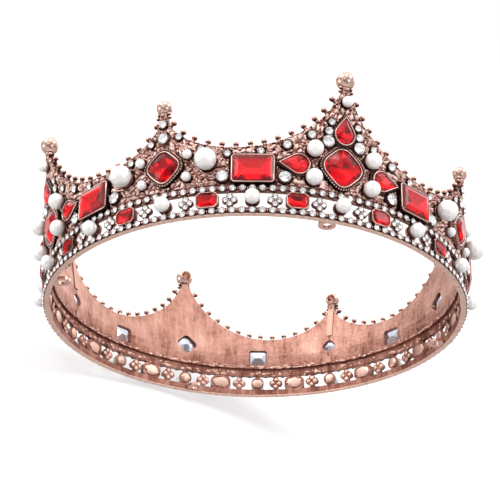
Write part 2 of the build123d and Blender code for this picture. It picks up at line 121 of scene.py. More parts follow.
def ico(level):
    t = (1 + sqrt(5)) / 2
    v = [(-1, t, 0), (1, t, 0), (-1, -t, 0), (1, -t, 0), (0, -1, t), (0, 1, t), (0, -1, -t), (0, 1, -t), (t, 0, -1), (t, 0, 1), (-t, 0, -1), (-t, 0, 1)]
    v = [tuple(np.array(p) / np.linalg.norm(p)) for p in v]
    f = [(0, 11, 5), (0, 5, 1), (0, 1, 7), (0, 7, 10), (0, 10, 11), (1, 5, 9), (5, 11, 4), (11, 10, 2), (10, 7, 6), (7, 1, 8),
         (3, 9, 4), (3, 4, 2), (3, 2, 6), (3, 6, 8), (3, 8, 9), (4, 9, 5), (2, 4, 11), (6, 2, 10), (8, 6, 7), (9, 8, 1)]
    for _ in range(level):
        mid, out = {}, []

        def half(a, b):
            k = (min(a, b), max(a, b))
            if k not in mid:
                p = np.array(v[a]) + np.array(v[b])
                v.append(tuple(p / np.linalg.norm(p)))
                mid[k] = len(v) - 1
            return mid[k]
        for a, b, c in f:
            ab, bc, ca = half(a, b), half(b, c), half(c, a)
            out += [(a, ab, ca), (b, bc, ab), (c, ca, bc), (ab, bc, ca)]
        f = out
    return np.array(v), f


ICO0, ICO1, ICO2, ICO3 = ico(0), ico(1), ico(2), ico(3)


def torus(R, r, n=20, m=6):
    a, b = np.arange(n) * 2 * pi / n, np.arange(m) * 2 * pi / m
    A, B_ = np.meshgrid(a, b, indexing="ij")
    v = np.stack([(R + r * np.cos(B_)) * np.cos(A), (R + r * np.cos(B_)) * np.sin(A), r * np.sin(B_)], -1).reshape(-1, 3)
    f = [(i * m + j, ((i + 1) % n) * m + j, ((i + 1) % n) * m + (j + 1) % m, i * m + (j + 1) % m) for i in range(n) for j in range(m)]
    return v, f


def tube(path, r, m=6, closed=True):
    """A round tube along points; r may vary. Closed loops join, open ones get flat end caps."""
    p = np.asarray(path, float)
    n = len(p)
    rr = np.broadcast_to(np.asarray(r, float), (n,))
    if closed:
        t = np.roll(p, -1, 0) - np.roll(p, 1, 0)
    else:
        t = np.gradient(p, axis=0)
    t /= np.linalg.norm(t, axis=1)[:, None] + 1e-12
    c = p.mean(0)
    ref = np.array([0.0, 0.0, 1.0])
    s = np.cross(t, ref)
    bad = np.linalg.norm(s, axis=1) < 1e-3
    s[bad] = [1, 0, 0]
    s /= np.linalg.norm(s, axis=1)[:, None]
    w = np.cross(s, t)
    b = np.arange(m) * 2 * pi / m
    v = (p[:, None] + rr[:, None, None] * (np.cos(b)[None, :, None] * s[:, None] + np.sin(b)[None, :, None] * w[:, None])).reshape(-1, 3)
    f = []
    for i in range(n if closed else n - 1):
        i2 = (i + 1) % n
        for j in range(m):
            f.append((i * m + j, i * m + (j + 1) % m, i2 * m + (j + 1) % m, i2 * m + j))
    if not closed:
        f.append(tuple(range(m - 1, -1, -1)))
        f.append(tuple((n - 1) * m + j for j in range(m)))
    return v, f


# ------------------------------------------------------------------ outlines
def round_outline(th, d=1.0):
    return np.stack([np.cos(th), np.sin(th)], -1) * d / 2


def cushion_outline(th, s, e=3.3):
    """Square with soft corners, standing on one corner, as a function of direction."""
    a = th - pi / 4
    c, sn = np.cos(a), np.sin(a)
    r = (np.abs(c) ** e + np.abs(sn) ** e) ** (-1 / e) * s / 2
    return np.stack([r * np.cos(th), r * np.sin(th)], -1)


def pear_outline(th, l, w):
    """A drop with its point at +Y, as a function of direction from the centre of its round end."""
    r = w / 2
    cy = -l / 2 + r
    a = l / 2 - cy
    th = np.asarray(th, float)
    k = r * r / a
    lim = np.arcsin(k / r)
    out = []
    for t in np.atleast_1d(th):
        d = np.array([cos(t), sin(t)])
        ang = np.arctan2(d[1], d[0])
        if d[1] > 0 and ang > lim and ang < pi - lim:
            # ray to the tangent line from the tip
            hx = r * sqrt(1 - (r / a) ** 2)
            p0, p1 = np.array([hx if d[0] >= 0 else -hx, k]), np.array([0.0, a])
            e = p1 - p0
            den = d[0] * e[1] - d[1] * e[0]
            s = (p0[0] * e[1] - p0[1] * e[0]) / den
            out.append(d * s)
        else:
            out.append(d * r)
    out = np.array(out)
    out[:, 1] += cy
    return out


def rect_pts(w, h, c, d=0.0):
    """Eight corners of a rectangle with cut corners, inset by d."""
    w, h = w - 2 * d, h - 2 * d
    c = max(0.12, c - d * 0.42)
    return np.array([(w / 2, -h / 2 + c), (w / 2, h / 2 - c), (w / 2 - c, h / 2), (-w / 2 + c, h / 2),
                     (-w / 2, h / 2 - c), (-w / 2, -h / 2 + c), (-w / 2 + c, -h / 2), (w / 2 - c, -h / 2)])


# ------------------------------------------------------------------ cut stones
def brilliant(out, crown, pav, table=0.56, centre=(0, 0), girdle=0.12, n=8, turn=0.0):
    """Faceted stone over an outline given by direction; its culet is at z=-pav, girdle at 0. Faces 0 = glass, 1 = foiled back."""
    k = np.arange(n) * 2 * pi / n + turn
    kh = k + pi / n
    g = np.empty((2 * n, 2))
    g[0::2], g[1::2] = out(k), out(kh)
    c = np.array(centre, float)
    T_ = c + (out(k) - c) * table
    z = lambda a, h: np.concatenate([a, np.full((len(a), 1), h)], 1)
    v = np.concatenate([z(T_, crown + girdle), z(g, girdle), z(g, 0.0), [[c[0], c[1], -pav]]])
    t0, g0, h0, cu = 0, n, 3 * n, 5 * n
    f, m = [tuple(t0 + i for i in range(n))], [0]
    for i in range(n):
        j = (i + 1) % n
        a, b, e = 2 * i, 2 * i + 1, 2 * j
        f += [(t0 + i, g0 + b, t0 + j), (t0 + i, g0 + a, g0 + b), (t0 + j, g0 + b, g0 + e)]
        m += [0, 0, 0]
        f += [(g0 + a, h0 + a, h0 + b, g0 + b), (g0 + b, h0 + b, h0 + e, g0 + e)]
        m += [1, 1]
        f += [(cu, h0 + b, h0 + a), (cu, h0 + e, h0 + b)]
        m += [1, 1]
    return v, f, m


def hip_back(rings, out, ridge, depth):
    """Step-cut crown over a hip-roof back whose ridge runs along X."""
    n = len(out)
    v, f, m = [], [], []
    for p, h in rings:
        v += [(x, y, h) for x, y in p]
    for s in range(len(rings) - 1):
        for i in range(n):
            j = (i + 1) % n
            f.append((s * n + i, s * n + j, (s + 1) * n + j, (s + 1) * n + i)); m.append(0 if s else 1)
    f.append(tuple((len(rings) - 1) * n + i for i in range(n))); m.append(0)
    o = len(v)
    v += [(ridge, 0, -depth), (-ridge, 0, -depth)]
    # outline order: right side going up, top going left, left going down, bottom going right
    for i in range(n):
        j = (i + 1) % n
        xi, xj = out[i][0], out[j][0]
        if xi > 0 and xj > 0:
            f.append((j, i, o)); m.append(1)
        elif xi < 0 and xj < 0:
            f.append((j, i, o + 1)); m.append(1)
        elif xi > 0:
            f.append((j, i, o, o + 1)); m.append(1)
        else:
            f.append((j, i, o + 1, o)); m.append(1)
    return np.array(v, float), f, m


# ------------------------------------------------------------------ materials
def new_mat(name):
    m = bpy.data.materials.new(name)
    m.use_nodes = True
    nt = m.node_tree
    b = nt.nodes["Principled BSDF"]
    return m, nt, b


def N(nt, kind, **kw):
    n = nt.nodes.new(kind)
    for k, v in kw.items():
        if k in ("operation", "data_type", "blend_type", "attribute_name", "noise_dimensions", "feature", "distance", "samples", "only_local", "inside", "clamp", "mode", "interpolation_type", "attribute_type", "vector_type"):
            setattr(n, k, v)
        else:
            n.inputs[k].default_value = v
    return n


def ramp(nt, src, stops):
    r = nt.nodes.new("ShaderNodeValToRGB")
    e = r.color_ramp.elements
    while len(e) < len(stops):
        e.new(0.5)
    for i, (p, c) in enumerate(stops):
        e[i].position = p
        e[i].color = (*c, 1.0) if len(c) == 3 else c
    nt.links.new(src, r.inputs[0])
    return r.outputs[0]


def mix(nt, a, b, fac, blend="MIX"):
    n = nt.nodes.new("ShaderNodeMix")
    n.data_type, n.blend_type = "RGBA", blend
    for s, val in ((n.inputs[0], fac), (n.inputs[6], a), (n.inputs[7], b)):
        if isinstance(val, (int, float)):
            s.default_value = val
        elif isinstance(val, tuple):
            s.default_value = (*val, 1.0)
        else:
            nt.links.new(val, s)
    return n.outputs[2]


def math(nt, op, a, b=None, c=None):
    n = nt.nodes.new("ShaderNodeMath")
    n.operation = op
    for i, val in enumerate((a, b, c)):
        if val is None:
            continue
        if isinstance(val, (int, float)):
            n.inputs[i].default_value = val
        else:
            nt.links.new(val, n.inputs[i])
    return n.outputs[0]


def noise(nt, vec, scale, detail=4.0, rough=0.6, out="Fac"):
    n = nt.nodes.new("ShaderNodeTexNoise")
    n.inputs["Scale"].default_value = scale
    n.inputs["Detail"].default_value = detail
    n.inputs["Roughness"].default_value = rough
    nt.links.new(vec, n.inputs["Vector"])
    return n.outputs[0 if out == "Fac" else 1]


def bump(nt, h, strength, dist=0.0002, normal=None):
    n = nt.nodes.new("ShaderNodeBump")
    n.inputs["Strength"].default_value = strength
    n.inputs["Distance"].default_value = dist
    nt.links.new(h, n.inputs["Height"])
    if normal is not None:
        nt.links.new(normal, n.inputs["Normal"])
    return n.outputs[0]


def obj_coord(nt):
    return nt.nodes.new("ShaderNodeTexCoord").outputs["Object"]


DARK, BROWN, COPPER, PINK, BRIGHT = (0.026, 0.008, 0.008), (0.150, 0.050, 0.043), (0.46, 0.205, 0.165), (0.77, 0.46, 0.39), (0.96, 0.75, 0.67)


def antique(name, stops, dist=0.0011, rough=0.34, lift=0.0, bumpy=0.35, fine=2600.0, vary=1.0, underside_shade=0.0):
    """Rose-gold casting with dark patina left in the recesses, and painted shade on the undersides when asked for."""
    m, nt, b = new_mat(name)
    co = obj_coord(nt)
    ao = N(nt, "ShaderNodeAmbientOcclusion", samples=6, only_local=False)
    ao.inputs["Distance"].default_value = dist
    n1 = noise(nt, co, 900.0, 4.0)
    n2 = noise(nt, co, fine, 3.0)
    a = math(nt, "ADD", ao.outputs["AO"], math(nt, "MULTIPLY_ADD", n1, 0.34 * vary, -0.17 * vary + lift))
    a = math(nt, "ADD", a, math(nt, "MULTIPLY_ADD", n2, 0.24 * vary, -0.12 * vary))
    if underside_shade:
        # painted shade: the undersides, where the normal points down, are darkened as if out of the light
        tcn, sn = nt.nodes.new("ShaderNodeTexCoord"), nt.nodes.new("ShaderNodeSeparateXYZ")
        nt.links.new(tcn.outputs["Normal"], sn.inputs[0])
        u = ramp(nt, math(nt, "MULTIPLY_ADD", sn.outputs[2], 0.5, 0.5), [(0.0, (1, 1, 1)), (0.38, (0, 0, 0))])
        a = math(nt, "SUBTRACT", a, math(nt, "MULTIPLY", u, underside_shade))
    nt.links.new(ramp(nt, a, stops), b.inputs["Base Color"])
    b.inputs["Metallic"].default_value = 1.0
    r = math(nt, "MULTIPLY_ADD", n2, 0.22, rough - 0.11)
    nt.links.new(r, b.inputs["Roughness"])
    nt.links.new(bump(nt, n2, bumpy, 0.00012), b.inputs["Normal"])
    return m


def polished(name, col=(0.90, 0.60, 0.50), rough=0.17):
    m, nt, b = new_mat(name)
    co = obj_coord(nt)
    ao = N(nt, "ShaderNodeAmbientOcclusion", samples=4)
    ao.inputs["Distance"].default_value = 0.0009
    n1 = noise(nt, co, 1100.0, 3.0)
    a = math(nt, "ADD", ao.outputs["AO"], math(nt, "MULTIPLY_ADD", n1, 0.30, -0.15))
    c = ramp(nt, a, [(0.15, DARK), (0.38, (0.20, 0.07, 0.05)), (0.62, tuple(x * 0.72 for x in col)), (0.95, col)])
    nt.links.new(c, b.inputs["Base Color"])
    b.inputs["Metallic"].default_value = 1.0
    nt.links.new(math(nt, "MULTIPLY_ADD", n1, 0.16, rough - 0.08), b.inputs["Roughness"])
    nt.links.new(bump(nt, n1, 0.12, 0.0001), b.inputs["Normal"])
    return m


def panel_material():
    """The castings: brushed salmon copper inside, antiqued outside."""
    m, nt, b = new_mat("panel_casting")
    co = obj_coord(nt)
    sep = nt.nodes.new("ShaderNodeSeparateXYZ"); nt.links.new(co, sep.inputs[0])
    nrm = nt.nodes.new("ShaderNodeSeparateXYZ")
    tcn = nt.nodes.new("ShaderNodeTexCoord")
    nt.links.new(tcn.outputs["Normal"], nrm.inputs[0])
    x, y, z = sep.outputs
    rad = math(nt, "SQRT", math(nt, "ADD", math(nt, "MULTIPLY", x, x), math(nt, "MULTIPLY", y, y)))
    facing = math(nt, "DIVIDE", math(nt, "ADD", math(nt, "MULTIPLY", x, nrm.outputs[0]), math(nt, "MULTIPLY", y, nrm.outputs[1])), rad)
    f01 = math(nt, "MULTIPLY_ADD", facing, 0.5, 0.5)
    inside = ramp(nt, f01, [(0.14, (1, 1, 1)), (0.24, (0, 0, 0))])
    walls = ramp(nt, f01, [(0.20, (0, 0, 0)), (0.30, (1, 1, 1)), (0.66, (1, 1, 1)), (0.80, (0, 0, 0))])
    az = math(nt, "ARCTAN2", x, y)
    arc = math(nt, "MULTIPLY", az, 0.078)

    def wrapped(kz, scale, detail, rough):
        c = nt.nodes.new("ShaderNodeCombineXYZ")
        nt.links.new(arc, c.inputs[0])
        nt.links.new(math(nt, "MULTIPLY", z, kz), c.inputs[1])
        return noise(nt, c.outputs[0], scale, detail, rough)
    brush = wrapped(0.06, 2200.0, 4.0, 0.6)
    streak = wrapped(0.16, 420.0, 4.0, 0.6)
    blot = wrapped(0.8, 95.0, 6.0, 0.62)
    pits = wrapped(1.0, 620.0, 4.0, 0.65)
    ao = N(nt, "ShaderNodeAmbientOcclusion", samples=6)
    ao.inputs["Distance"].default_value = 0.0016
    n1, n2 = noise(nt, co, 900.0, 4.0), noise(nt, co, 2600.0, 3.0)
    zm = math(nt, "MULTIPLY", z, 1000.0)
    tone = math(nt, "ADD", math(nt, "MULTIPLY", brush, 0.22), math(nt, "MULTIPLY", blot, 0.62))
    tone = math(nt, "ADD", tone, math(nt, "MULTIPLY", streak, 0.34))
    tone = math(nt, "ADD", tone, math(nt, "MULTIPLY", pits, 0.26))
    # the casting is darker near the groove and the edge, where polishing didn't reach
    low = nt.nodes.new("ShaderNodeMapRange")
    low.inputs["From Min"].default_value, low.inputs["From Max"].default_value = 12.0, 17.0
    low.inputs["To Min"].default_value, low.inputs["To Max"].default_value = -0.10, 0.0
    nt.links.new(zm, low.inputs["Value"])
    tone = math(nt, "ADD", tone, low.outputs[0])
    col_in = ramp(nt, tone, [(0.46, (0.075, 0.026, 0.019)), (0.58, (0.26, 0.105, 0.077)), (0.70, (0.50, 0.255, 0.195)), (0.84, (0.64, 0.375, 0.30)), (0.99, (0.80, 0.55, 0.47))])
    aoc = ramp(nt, ao.outputs["AO"], [(0.12, (0.42, 0.27, 0.23)), (0.42, (0.86, 0.75, 0.71)), (0.72, (1, 1, 1))])
    col_in = mix(nt, col_in, aoc, 1.0, "MULTIPLY")
    # dark groove between the thick wall and the openwork, seen from inside
    g = math(nt, "MULTIPLY", math(nt, "GREATER_THAN", math(nt, "MULTIPLY_ADD", pits, 1.2, zm), 9.3), math(nt, "LESS_THAN", math(nt, "MULTIPLY_ADD", pits, 1.6, zm), 12.9))
    col_in = mix(nt, col_in, (0.20, 0.075, 0.056), math(nt, "MINIMUM", math(nt, "MULTIPLY", g, math(nt, "MULTIPLY_ADD", pits, 1.3, -0.30)), 0.30))
    # blackened joints between the quarters
    seam = math(nt, "ABSOLUTE", math(nt, "SUBTRACT", math(nt, "FRACT", math(nt, "ADD", math(nt, "DIVIDE", az, pi / 2), 0.25 + 4.0)), 0.5))
    wig = math(nt, "MULTIPLY_ADD", wrapped(1.0, 260.0, 3.0, 0.6), 0.0150, -0.0075)
    seam = math(nt, "ABSOLUTE", math(nt, "ADD", seam, wig))
    seam_dark = ramp(nt, math(nt, "MULTIPLY", seam, 100.0), [(0.15, (0.6, 0.6, 0.6)), (0.60, (0, 0, 0))])
    col_in = mix(nt, col_in, (0.12, 0.045, 0.034), seam_dark)
    col_in = mix(nt, col_in, (0.34, 0.15, 0.112), math(nt, "MULTIPLY", walls, 0.50))
    a = math(nt, "ADD", ao.outputs["AO"], math(nt, "MULTIPLY_ADD", n1, 0.36, -0.22))
    a = math(nt, "ADD", a, math(nt, "MULTIPLY_ADD", n2, 0.24, -0.12))
    col_out = ramp(nt, a, [(0.35, DARK), (0.62, BROWN), (0.88, COPPER), (1.05, PINK)])
    col_out = mix(nt, col_out, (0.020, 0.008, 0.007), math(nt, "MULTIPLY", walls, 0.86))
    # the smooth foot of the rim is bare metal
    foot = ramp(nt, zm, [(0.05, (1, 1, 1)), (0.35, (0, 0, 0))])
    col = mix(nt, col_out, col_in, math(nt, "MAXIMUM", inside, math(nt, "MULTIPLY", walls, math(nt, "LESS_THAN", rad, 0.0793))))
    foot_col = ramp(nt, math(nt, "MULTIPLY_ADD", pits, 0.7, math(nt, "MULTIPLY", blot, 0.3)), [(0.30, (0.56, 0.26, 0.19)), (0.45, (0.93, 0.57, 0.45)), (0.60, (0.98, 0.76, 0.67))])
    col = mix(nt, col, foot_col, foot)
    nt.links.new(col, b.inputs["Base Color"])
    b.inputs["Metallic"].default_value = 1.0
    rin = math(nt, "MULTIPLY_ADD", pits, 0.40, 0.30)
    rout = math(nt, "MULTIPLY_ADD", n2, 0.25, 0.28)
    mr = nt.nodes.new("ShaderNodeMix"); mr.data_type = "FLOAT"
    nt.links.new(inside, mr.inputs[0]); nt.links.new(rout, mr.inputs[2]); nt.links.new(rin, mr.inputs[3])
    nt.links.new(mr.outputs[0], b.inputs["Roughness"])
    hb = math(nt, "ADD", math(nt, "MULTIPLY", brush, 0.20), math(nt, "MULTIPLY", blot, 2.6))
    hb = math(nt, "ADD", hb, math(nt, "MULTIPLY", pits, 0.9))
    hb = math(nt, "ADD", hb, math(nt, "MULTIPLY", streak, 0.7))
    nt.links.new(bump(nt, hb, 0.75, 0.0005), b.inputs["Normal"])
    return m


def relief_material():
    m, nt, b = new_mat("nugget_relief")
    co = obj_coord(nt)
    at = nt.nodes.new("ShaderNodeAttribute"); at.attribute_name = "cav"
    ao = N(nt, "ShaderNodeAmbientOcclusion", samples=6)
    ao.inputs["Distance"].default_value = 0.0016
    n2 = noise(nt, co, 2300.0, 4.0)
    n1 = noise(nt, co, 420.0, 3.0)
    a = math(nt, "MULTIPLY", at.outputs["Fac"], ramp(nt, ao.outputs["AO"], [(0.25, (0, 0, 0)), (0.85, (1, 1, 1))]))
    a = math(nt, "ADD", a, math(nt, "MULTIPLY_ADD", n2, 0.50, -0.25))
    a = math(nt, "ADD", a, math(nt, "MULTIPLY_ADD", n1, 0.30, -0.15))
    col = ramp(nt, a, [(0.09, DARK), (0.24, BROWN), (0.40, COPPER), (0.62, PINK), (0.86, BRIGHT)])
    nt.links.new(col, b.inputs["Base Color"])
    b.inputs["Metallic"].default_value = 1.0
    nt.links.new(math(nt, "MULTIPLY_ADD", n2, 0.30, 0.20), b.inputs["Roughness"])
    nt.links.new(bump(nt, n2, 0.8, 0.00022), b.inputs["Normal"])
    return m


def glass(name, col, rough=0.0, ior=1.5):
    m, nt, b = new_mat(name)
    co = obj_coord(nt)
    n1 = noise(nt, co, 260.0, 2.0)
    c = ramp(nt, n1, [(0.3, tuple(x * 0.96 for x in col)), (0.7, col)])
    nt.links.new(c, b.inputs["Base Color"])
    b.inputs["Transmission Weight"].default_value = 1.0
    b.inputs["Roughness"].default_value = rough
    b.inputs["IOR"].default_value = ior
    return m


def foil(name, col, rough=0.06, glow=0.0):
    m, nt, b = new_mat(name)
    co = obj_coord(nt)
    n1 = noise(nt, co, 700.0, 4.0)
    c = ramp(nt, n1, [(0.3, tuple(x * 0.80 for x in col)), (0.65, col)])
    nt.links.new(c, b.inputs["Base Color"])
    b.inputs["Metallic"].default_value = 1.0
    nt.links.new(math(nt, "MULTIPLY_ADD", n1, 0.10, rough), b.inputs["Roughness"])
    # painted light: the emission makes the foil glow faintly, standing in for light sent back through the stone
    b.inputs["Emission Color"].default_value = (*col, 1.0)
    b.inputs["Emission Strength"].default_value = glow
    return m


def pearl_material():
    m, nt, b = new_mat("pearl_nacre")
    co = obj_coord(nt)
    n1, n2 = noise(nt, co, 180.0, 3.0), noise(nt, co, 1500.0, 3.0)
    c = ramp(nt, n1, [(0.3, (0.93, 0.90, 0.87)), (0.5, (0.96, 0.945, 0.93)), (0.7, (0.965, 0.93, 0.895))])
    # painted shade: ambient occlusion darkens the nacre where the pearl sits close to the wall and its cup
    ao = N(nt, "ShaderNodeAmbientOcclusion", samples=6)
    ao.inputs["Distance"].default_value = 0.0045
    k = ramp(nt, ao.outputs["AO"], [(0.10, (0.36, 0.26, 0.22)), (0.35, (0.76, 0.69, 0.65)), (0.60, (0.96, 0.95, 0.94)), (0.85, (1, 1, 1))])
    c = mix(nt, c, k, 1.0, "MULTIPLY")
    nt.links.new(c, b.inputs["Base Color"])
    b.inputs["Metallic"].default_value = 0.28
    b.inputs["Coat Weight"].default_value = 1.0
    b.inputs["Coat Roughness"].default_value = 0.06
    b.inputs["Coat IOR"].default_value = 1.75
    nt.links.new(math(nt, "MULTIPLY_ADD", n2, 0.08, 0.32), b.inputs["Roughness"])
    nt.links.new(bump(nt, n2, 0.03, 0.0001), b.inputs["Normal"])
    return m


M_PANEL, M_RELIEF = panel_material(), relief_material()
M_ANTIQUE = antique("antique_casting", [(0.30, DARK), (0.52, BROWN), (0.74, COPPER), (0.96, PINK), (1.15, BRIGHT)])
M_DARK = antique("patina_cups", [(0.35, DARK), (0.62, (0.030, 0.014, 0.012)), (0.88, (0.13, 0.070, 0.058)), (1.08, (0.42, 0.29, 0.26))], dist=0.0010, rough=0.30)
M_BEAD = antique("bead_metal", [(0.28, DARK), (0.52, BROWN), (0.76, COPPER), (0.98, PINK), (1.18, BRIGHT)], dist=0.0010, rough=0.26, vary=0.8)
# the stud and rope metals also carry painted shade on their undersides
M_STUD = antique("stud_metal", [(0.30, DARK), (0.55, BROWN), (0.76, (0.36, 0.165, 0.125)), (1.00, (0.78, 0.50, 0.42))], dist=0.0014, rough=0.25, vary=0.7, underside_shade=0.62)
M_ROPE = antique("edge_rope_metal", [(0.40, DARK), (0.66, BROWN), (0.88, COPPER), (1.10, PINK)], dist=0.0012, rough=0.26, vary=0.8, underside_shade=0.30)
M_BRIGHT = polished("polished_rose_gold", col=(0.76, 0.46, 0.39))
M_FINIAL = polished("finial_rose_gold", col=(0.76, 0.50, 0.42), rough=0.22)
M_RIM = polished("bezel_rim", col=(0.92, 0.68, 0.60), rough=0.18)
M_RED = glass("red_glass", (0.94, 0.004, 0.008), ior=1.44)
M_CLEAR = glass("clear_glass", (0.985, 0.99, 0.995), ior=1.62)
M_RED_D = glass("deep_red_glass", (0.88, 0.003, 0.007), ior=1.33)
M_FOIL_R = foil("silver_foil_red_stones", (0.93, 0.93, 0.94), 0.03, glow=0.07)
M_FOIL_D = foil("silver_foil_deep_stones", (0.64, 0.64, 0.65), 0.03, glow=0.02)
M_FOIL = foil("silver_foil", (0.97, 0.975, 0.98), glow=0.22)
M_FOIL_B = foil("foil_backs", (0.66, 0.69, 0.78), 0.12)
M_PEARL = pearl_material()
M_MOAT = antique("bezel_channel", [(0.3, DARK), (0.7, (0.035, 0.014, 0.012)), (1.1, (0.10, 0.045, 0.038))], rough=0.5)
M_BACK = antique("cast_back_metal", [(0.30, (0.06, 0.022, 0.017)), (0.55, (0.30, 0.125, 0.095)), (0.82, (0.58, 0.32, 0.25)), (1.05, (0.78, 0.51, 0.42))], dist=0.0014, rough=0.34, bumpy=0.8)
M_SOLDER = antique("solder_bead", [(0.25, (0.10, 0.040, 0.030)), (0.55, (0.26, 0.11, 0.085)), (0.85, (0.40, 0.20, 0.152)), (1.10, (0.52, 0.28, 0.22))], rough=0.46)

# ------------------------------------------------------------------ edge of the scallops
def edge_points():
    pts = [(0.9, TALL_TIP_Z + 1.0)] + STUDS + [(44.3, SHORT_TIP_Z + 1.2)]
    out = []
    for i in range(1, len(pts) - 1):
        (d0, z0), (d1, z1), (d, z) = pts[i - 1], pts[i + 1], pts[i]
        r = float(wall_r(z))
        dx, dz = radians(d1 - d0) * r, z1 - z0
        l = hypot(dx, dz)
        nx, nz = dz / l, -dx / l
        if nz > 0:
            nx, nz = -nx, -nz
        out.append((d + degrees(STUD_OUT * nx / r), z + STUD_OUT * nz))
    return out


EDGE = edge_points()


def catmull(p, k=10):
    p = np.array(p, float)
    p = np.concatenate([[2 * p[0] - p[1]], p, [2 * p[-1] - p[-2]]])
    out = []
    for i in range(1, len(p) - 2):
        t = np.arange(k)[:, None] / k
        a, b, c, d = p[i - 1], p[i], p[i + 1], p[i + 2]
        out.append(0.5 * ((2 * b) + (-a + c) * t + (2 * a - 5 * b + 4 * c - d) * t ** 2 + (-a + 3 * b - 3 * c + d) * t ** 3))
    out.append(p[-2][None])
    return np.concatenate(out)


NECK_D = degrees(1.25 / 84.9)
half = catmull([(NECK_D, TALL_TIP_Z - 0.8)] + EDGE + [(45 - degrees(1.25 / 83.3), SHORT_TIP_Z - 0.8)])
half = np.concatenate([[(NECK_D, TALL_TIP_Z)], half, [(45 - degrees(1.25 / 83.3), SHORT_TIP_Z)]])


def edge_z(d):
    """Height of the scalloped edge at d degrees from the tall spike (0 to 45)."""
    d = np.abs(np.asarray(d, float))
    return np.interp(d, half[:, 0], half[:, 1], left=TALL_TIP_Z, right=SHORT_TIP_Z)


# ------------------------------------------------------------------ where stones sit, for the relief's mask
def stone_list():
    """(degrees from the tall spike, height, kind, size) over one quarter, -45 to 45."""
    out = []
    for d, z, s in TALL_CLEAR:
        out.append((d, z, "round", s / 2 + 0.30))
    for d, z, s in TALL_PEARLS:
        out.append((d, z, "round", s / 2 * 0.75))
    for e in (-45, 45):
        for d, z, s in SHORT_CLEAR:
            out.append((e + d, z, "round", s / 2 + 0.30))
        for d, z, s in SHORT_PEARLS:
            out.append((e + d, z, "round", s / 2 * 0.75))
        out.append((e, 20.3, "cushion", 10.0 + 2 * BEZEL))
    out.append((0, 20.6, "cushion", 12.0 + 2 * BEZEL))
    for s in (-1, 1):
        out.append((22.5 * s, 17.1, "rect", (14 + 2 * BEZEL, 10 + 2 * BEZEL)))
        out.append((12.3 * s, 19.8, "pear", s))
    out.append((0, 34.7, "pear", 0))
    return out


def stone_distance(d, z):
    """Distance in mm from each point to the nearest stone setting (negative inside)."""
    best = np.full(d.shape, 9.0)
    for sd, sz, kind, size in stone_list():
        x = np.radians(d - sd) * wall_r(sz)
        y = z - sz
        if kind == "round":
            q = np.hypot(x, y) - size
        elif kind == "cushion":
            h = size / 2
            u, w = np.abs(x + y) / sqrt(2), np.abs(x - y) / sqrt(2)
            k = 0.26 * size
            q = np.hypot(np.maximum(u - h + k, 0), np.maximum(w - h + k, 0)) + np.minimum(np.maximum(u - h + k, w - h + k), 0) - k
        elif kind == "rect":
            q = np.maximum(np.abs(x) - size[0] / 2, np.abs(y) - size[1] / 2)
        else:
            if size:
                x, y = (-y * 1.0, x * size)
            r = 4.2
            cy = -1.6
            tip = 6.0
            yy = np.clip(y, cy, tip)
            rr = r * (1 - ((yy - cy) / (tip - cy)) ** 1.4)
            q = np.hypot(x, y - yy) - rr
        best = np.minimum(best, q)
    return best


# ------------------------------------------------------------------ cast relief of the wall
def worley(x, y, cell, seed):
    """Distances to the nearest and second nearest scattered points."""
    g = np.random.default_rng(seed)
    n = 512
    ox, oy = g.random((n, n)), g.random((n, n))
    ix, iy = np.floor(x / cell).astype(int), np.floor(y / cell).astype(int)
    d1 = np.full(x.shape, 1e9); d2 = np.full(x.shape, 1e9)
    for i in (-1, 0, 1):
        for j in (-1, 0, 1):
            a, b = (ix + i) % n, (iy + j) % n
            px, py = (ix + i + ox[a, b]) * cell, (iy + j + oy[a, b]) * cell
            q = np.hypot(x - px, y - py)
            d2 = np.where(q < d1, d1, np.minimum(d2, q))
            d1 = np.minimum(d1, q)
    return d1, d2


def vnoise(x, y, cell, seed):
    g = np.random.default_rng(seed)
    n = 512
    t = g.random((n, n))
    fx, fy = x / cell, y / cell
    ix, iy = np.floor(fx).astype(int), np.floor(fy).astype(int)
    u, v = fx - ix, fy - iy
    u, v = u * u * (3 - 2 * u), v * v * (3 - 2 * v)
    s = lambda a, b: t[(ix + a) % n, (iy + b) % n]
    return (s(0, 0) * (1 - u) + s(1, 0) * u) * (1 - v) + (s(0, 1) * (1 - u) + s(1, 1) * u) * v


def relief_height(d, z):
    x = np.radians(d) * 80.0
    wx = x + 1.6 * (vnoise(x, z, 2.6, 1) - 0.5)
    wz = z + 1.6 * (vnoise(x, z, 2.6, 2) - 0.5)
    f1, f2 = worley(wx, wz, 2.1, 3)
    e1 = np.clip((f2 - f1) / 0.8, 0, 1)
    nug = e1 * (1 - np.clip(f1 / 1.9, 0, 1) ** 2)
    g1, g2 = worley(wx * 1.0, wz * 1.0, 1.05, 5)
    small = np.clip((g2 - g1) / 0.45, 0, 1) * (1 - np.clip(g1 / 1.0, 0, 1) ** 2)
    v = vnoise(wx, wz, 3.1, 8) + 0.5 * vnoise(wx, wz, 1.5, 9)
    wire = np.clip(1 - np.abs(v - 0.72) / 0.075, 0, 1) ** 0.7
    wire2 = np.clip(1 - np.abs(v - 0.95) / 0.06, 0, 1) ** 0.7
    pick = vnoise(x, z, 5.0, 11)
    h = np.where(pick > 0.5, 0.75 * nug + 0.20 * small, 0.30 * nug + 0.50 * small)
    h = np.maximum(h, 0.85 * np.maximum(wire, wire2))
    return np.clip(h, 0, 1)


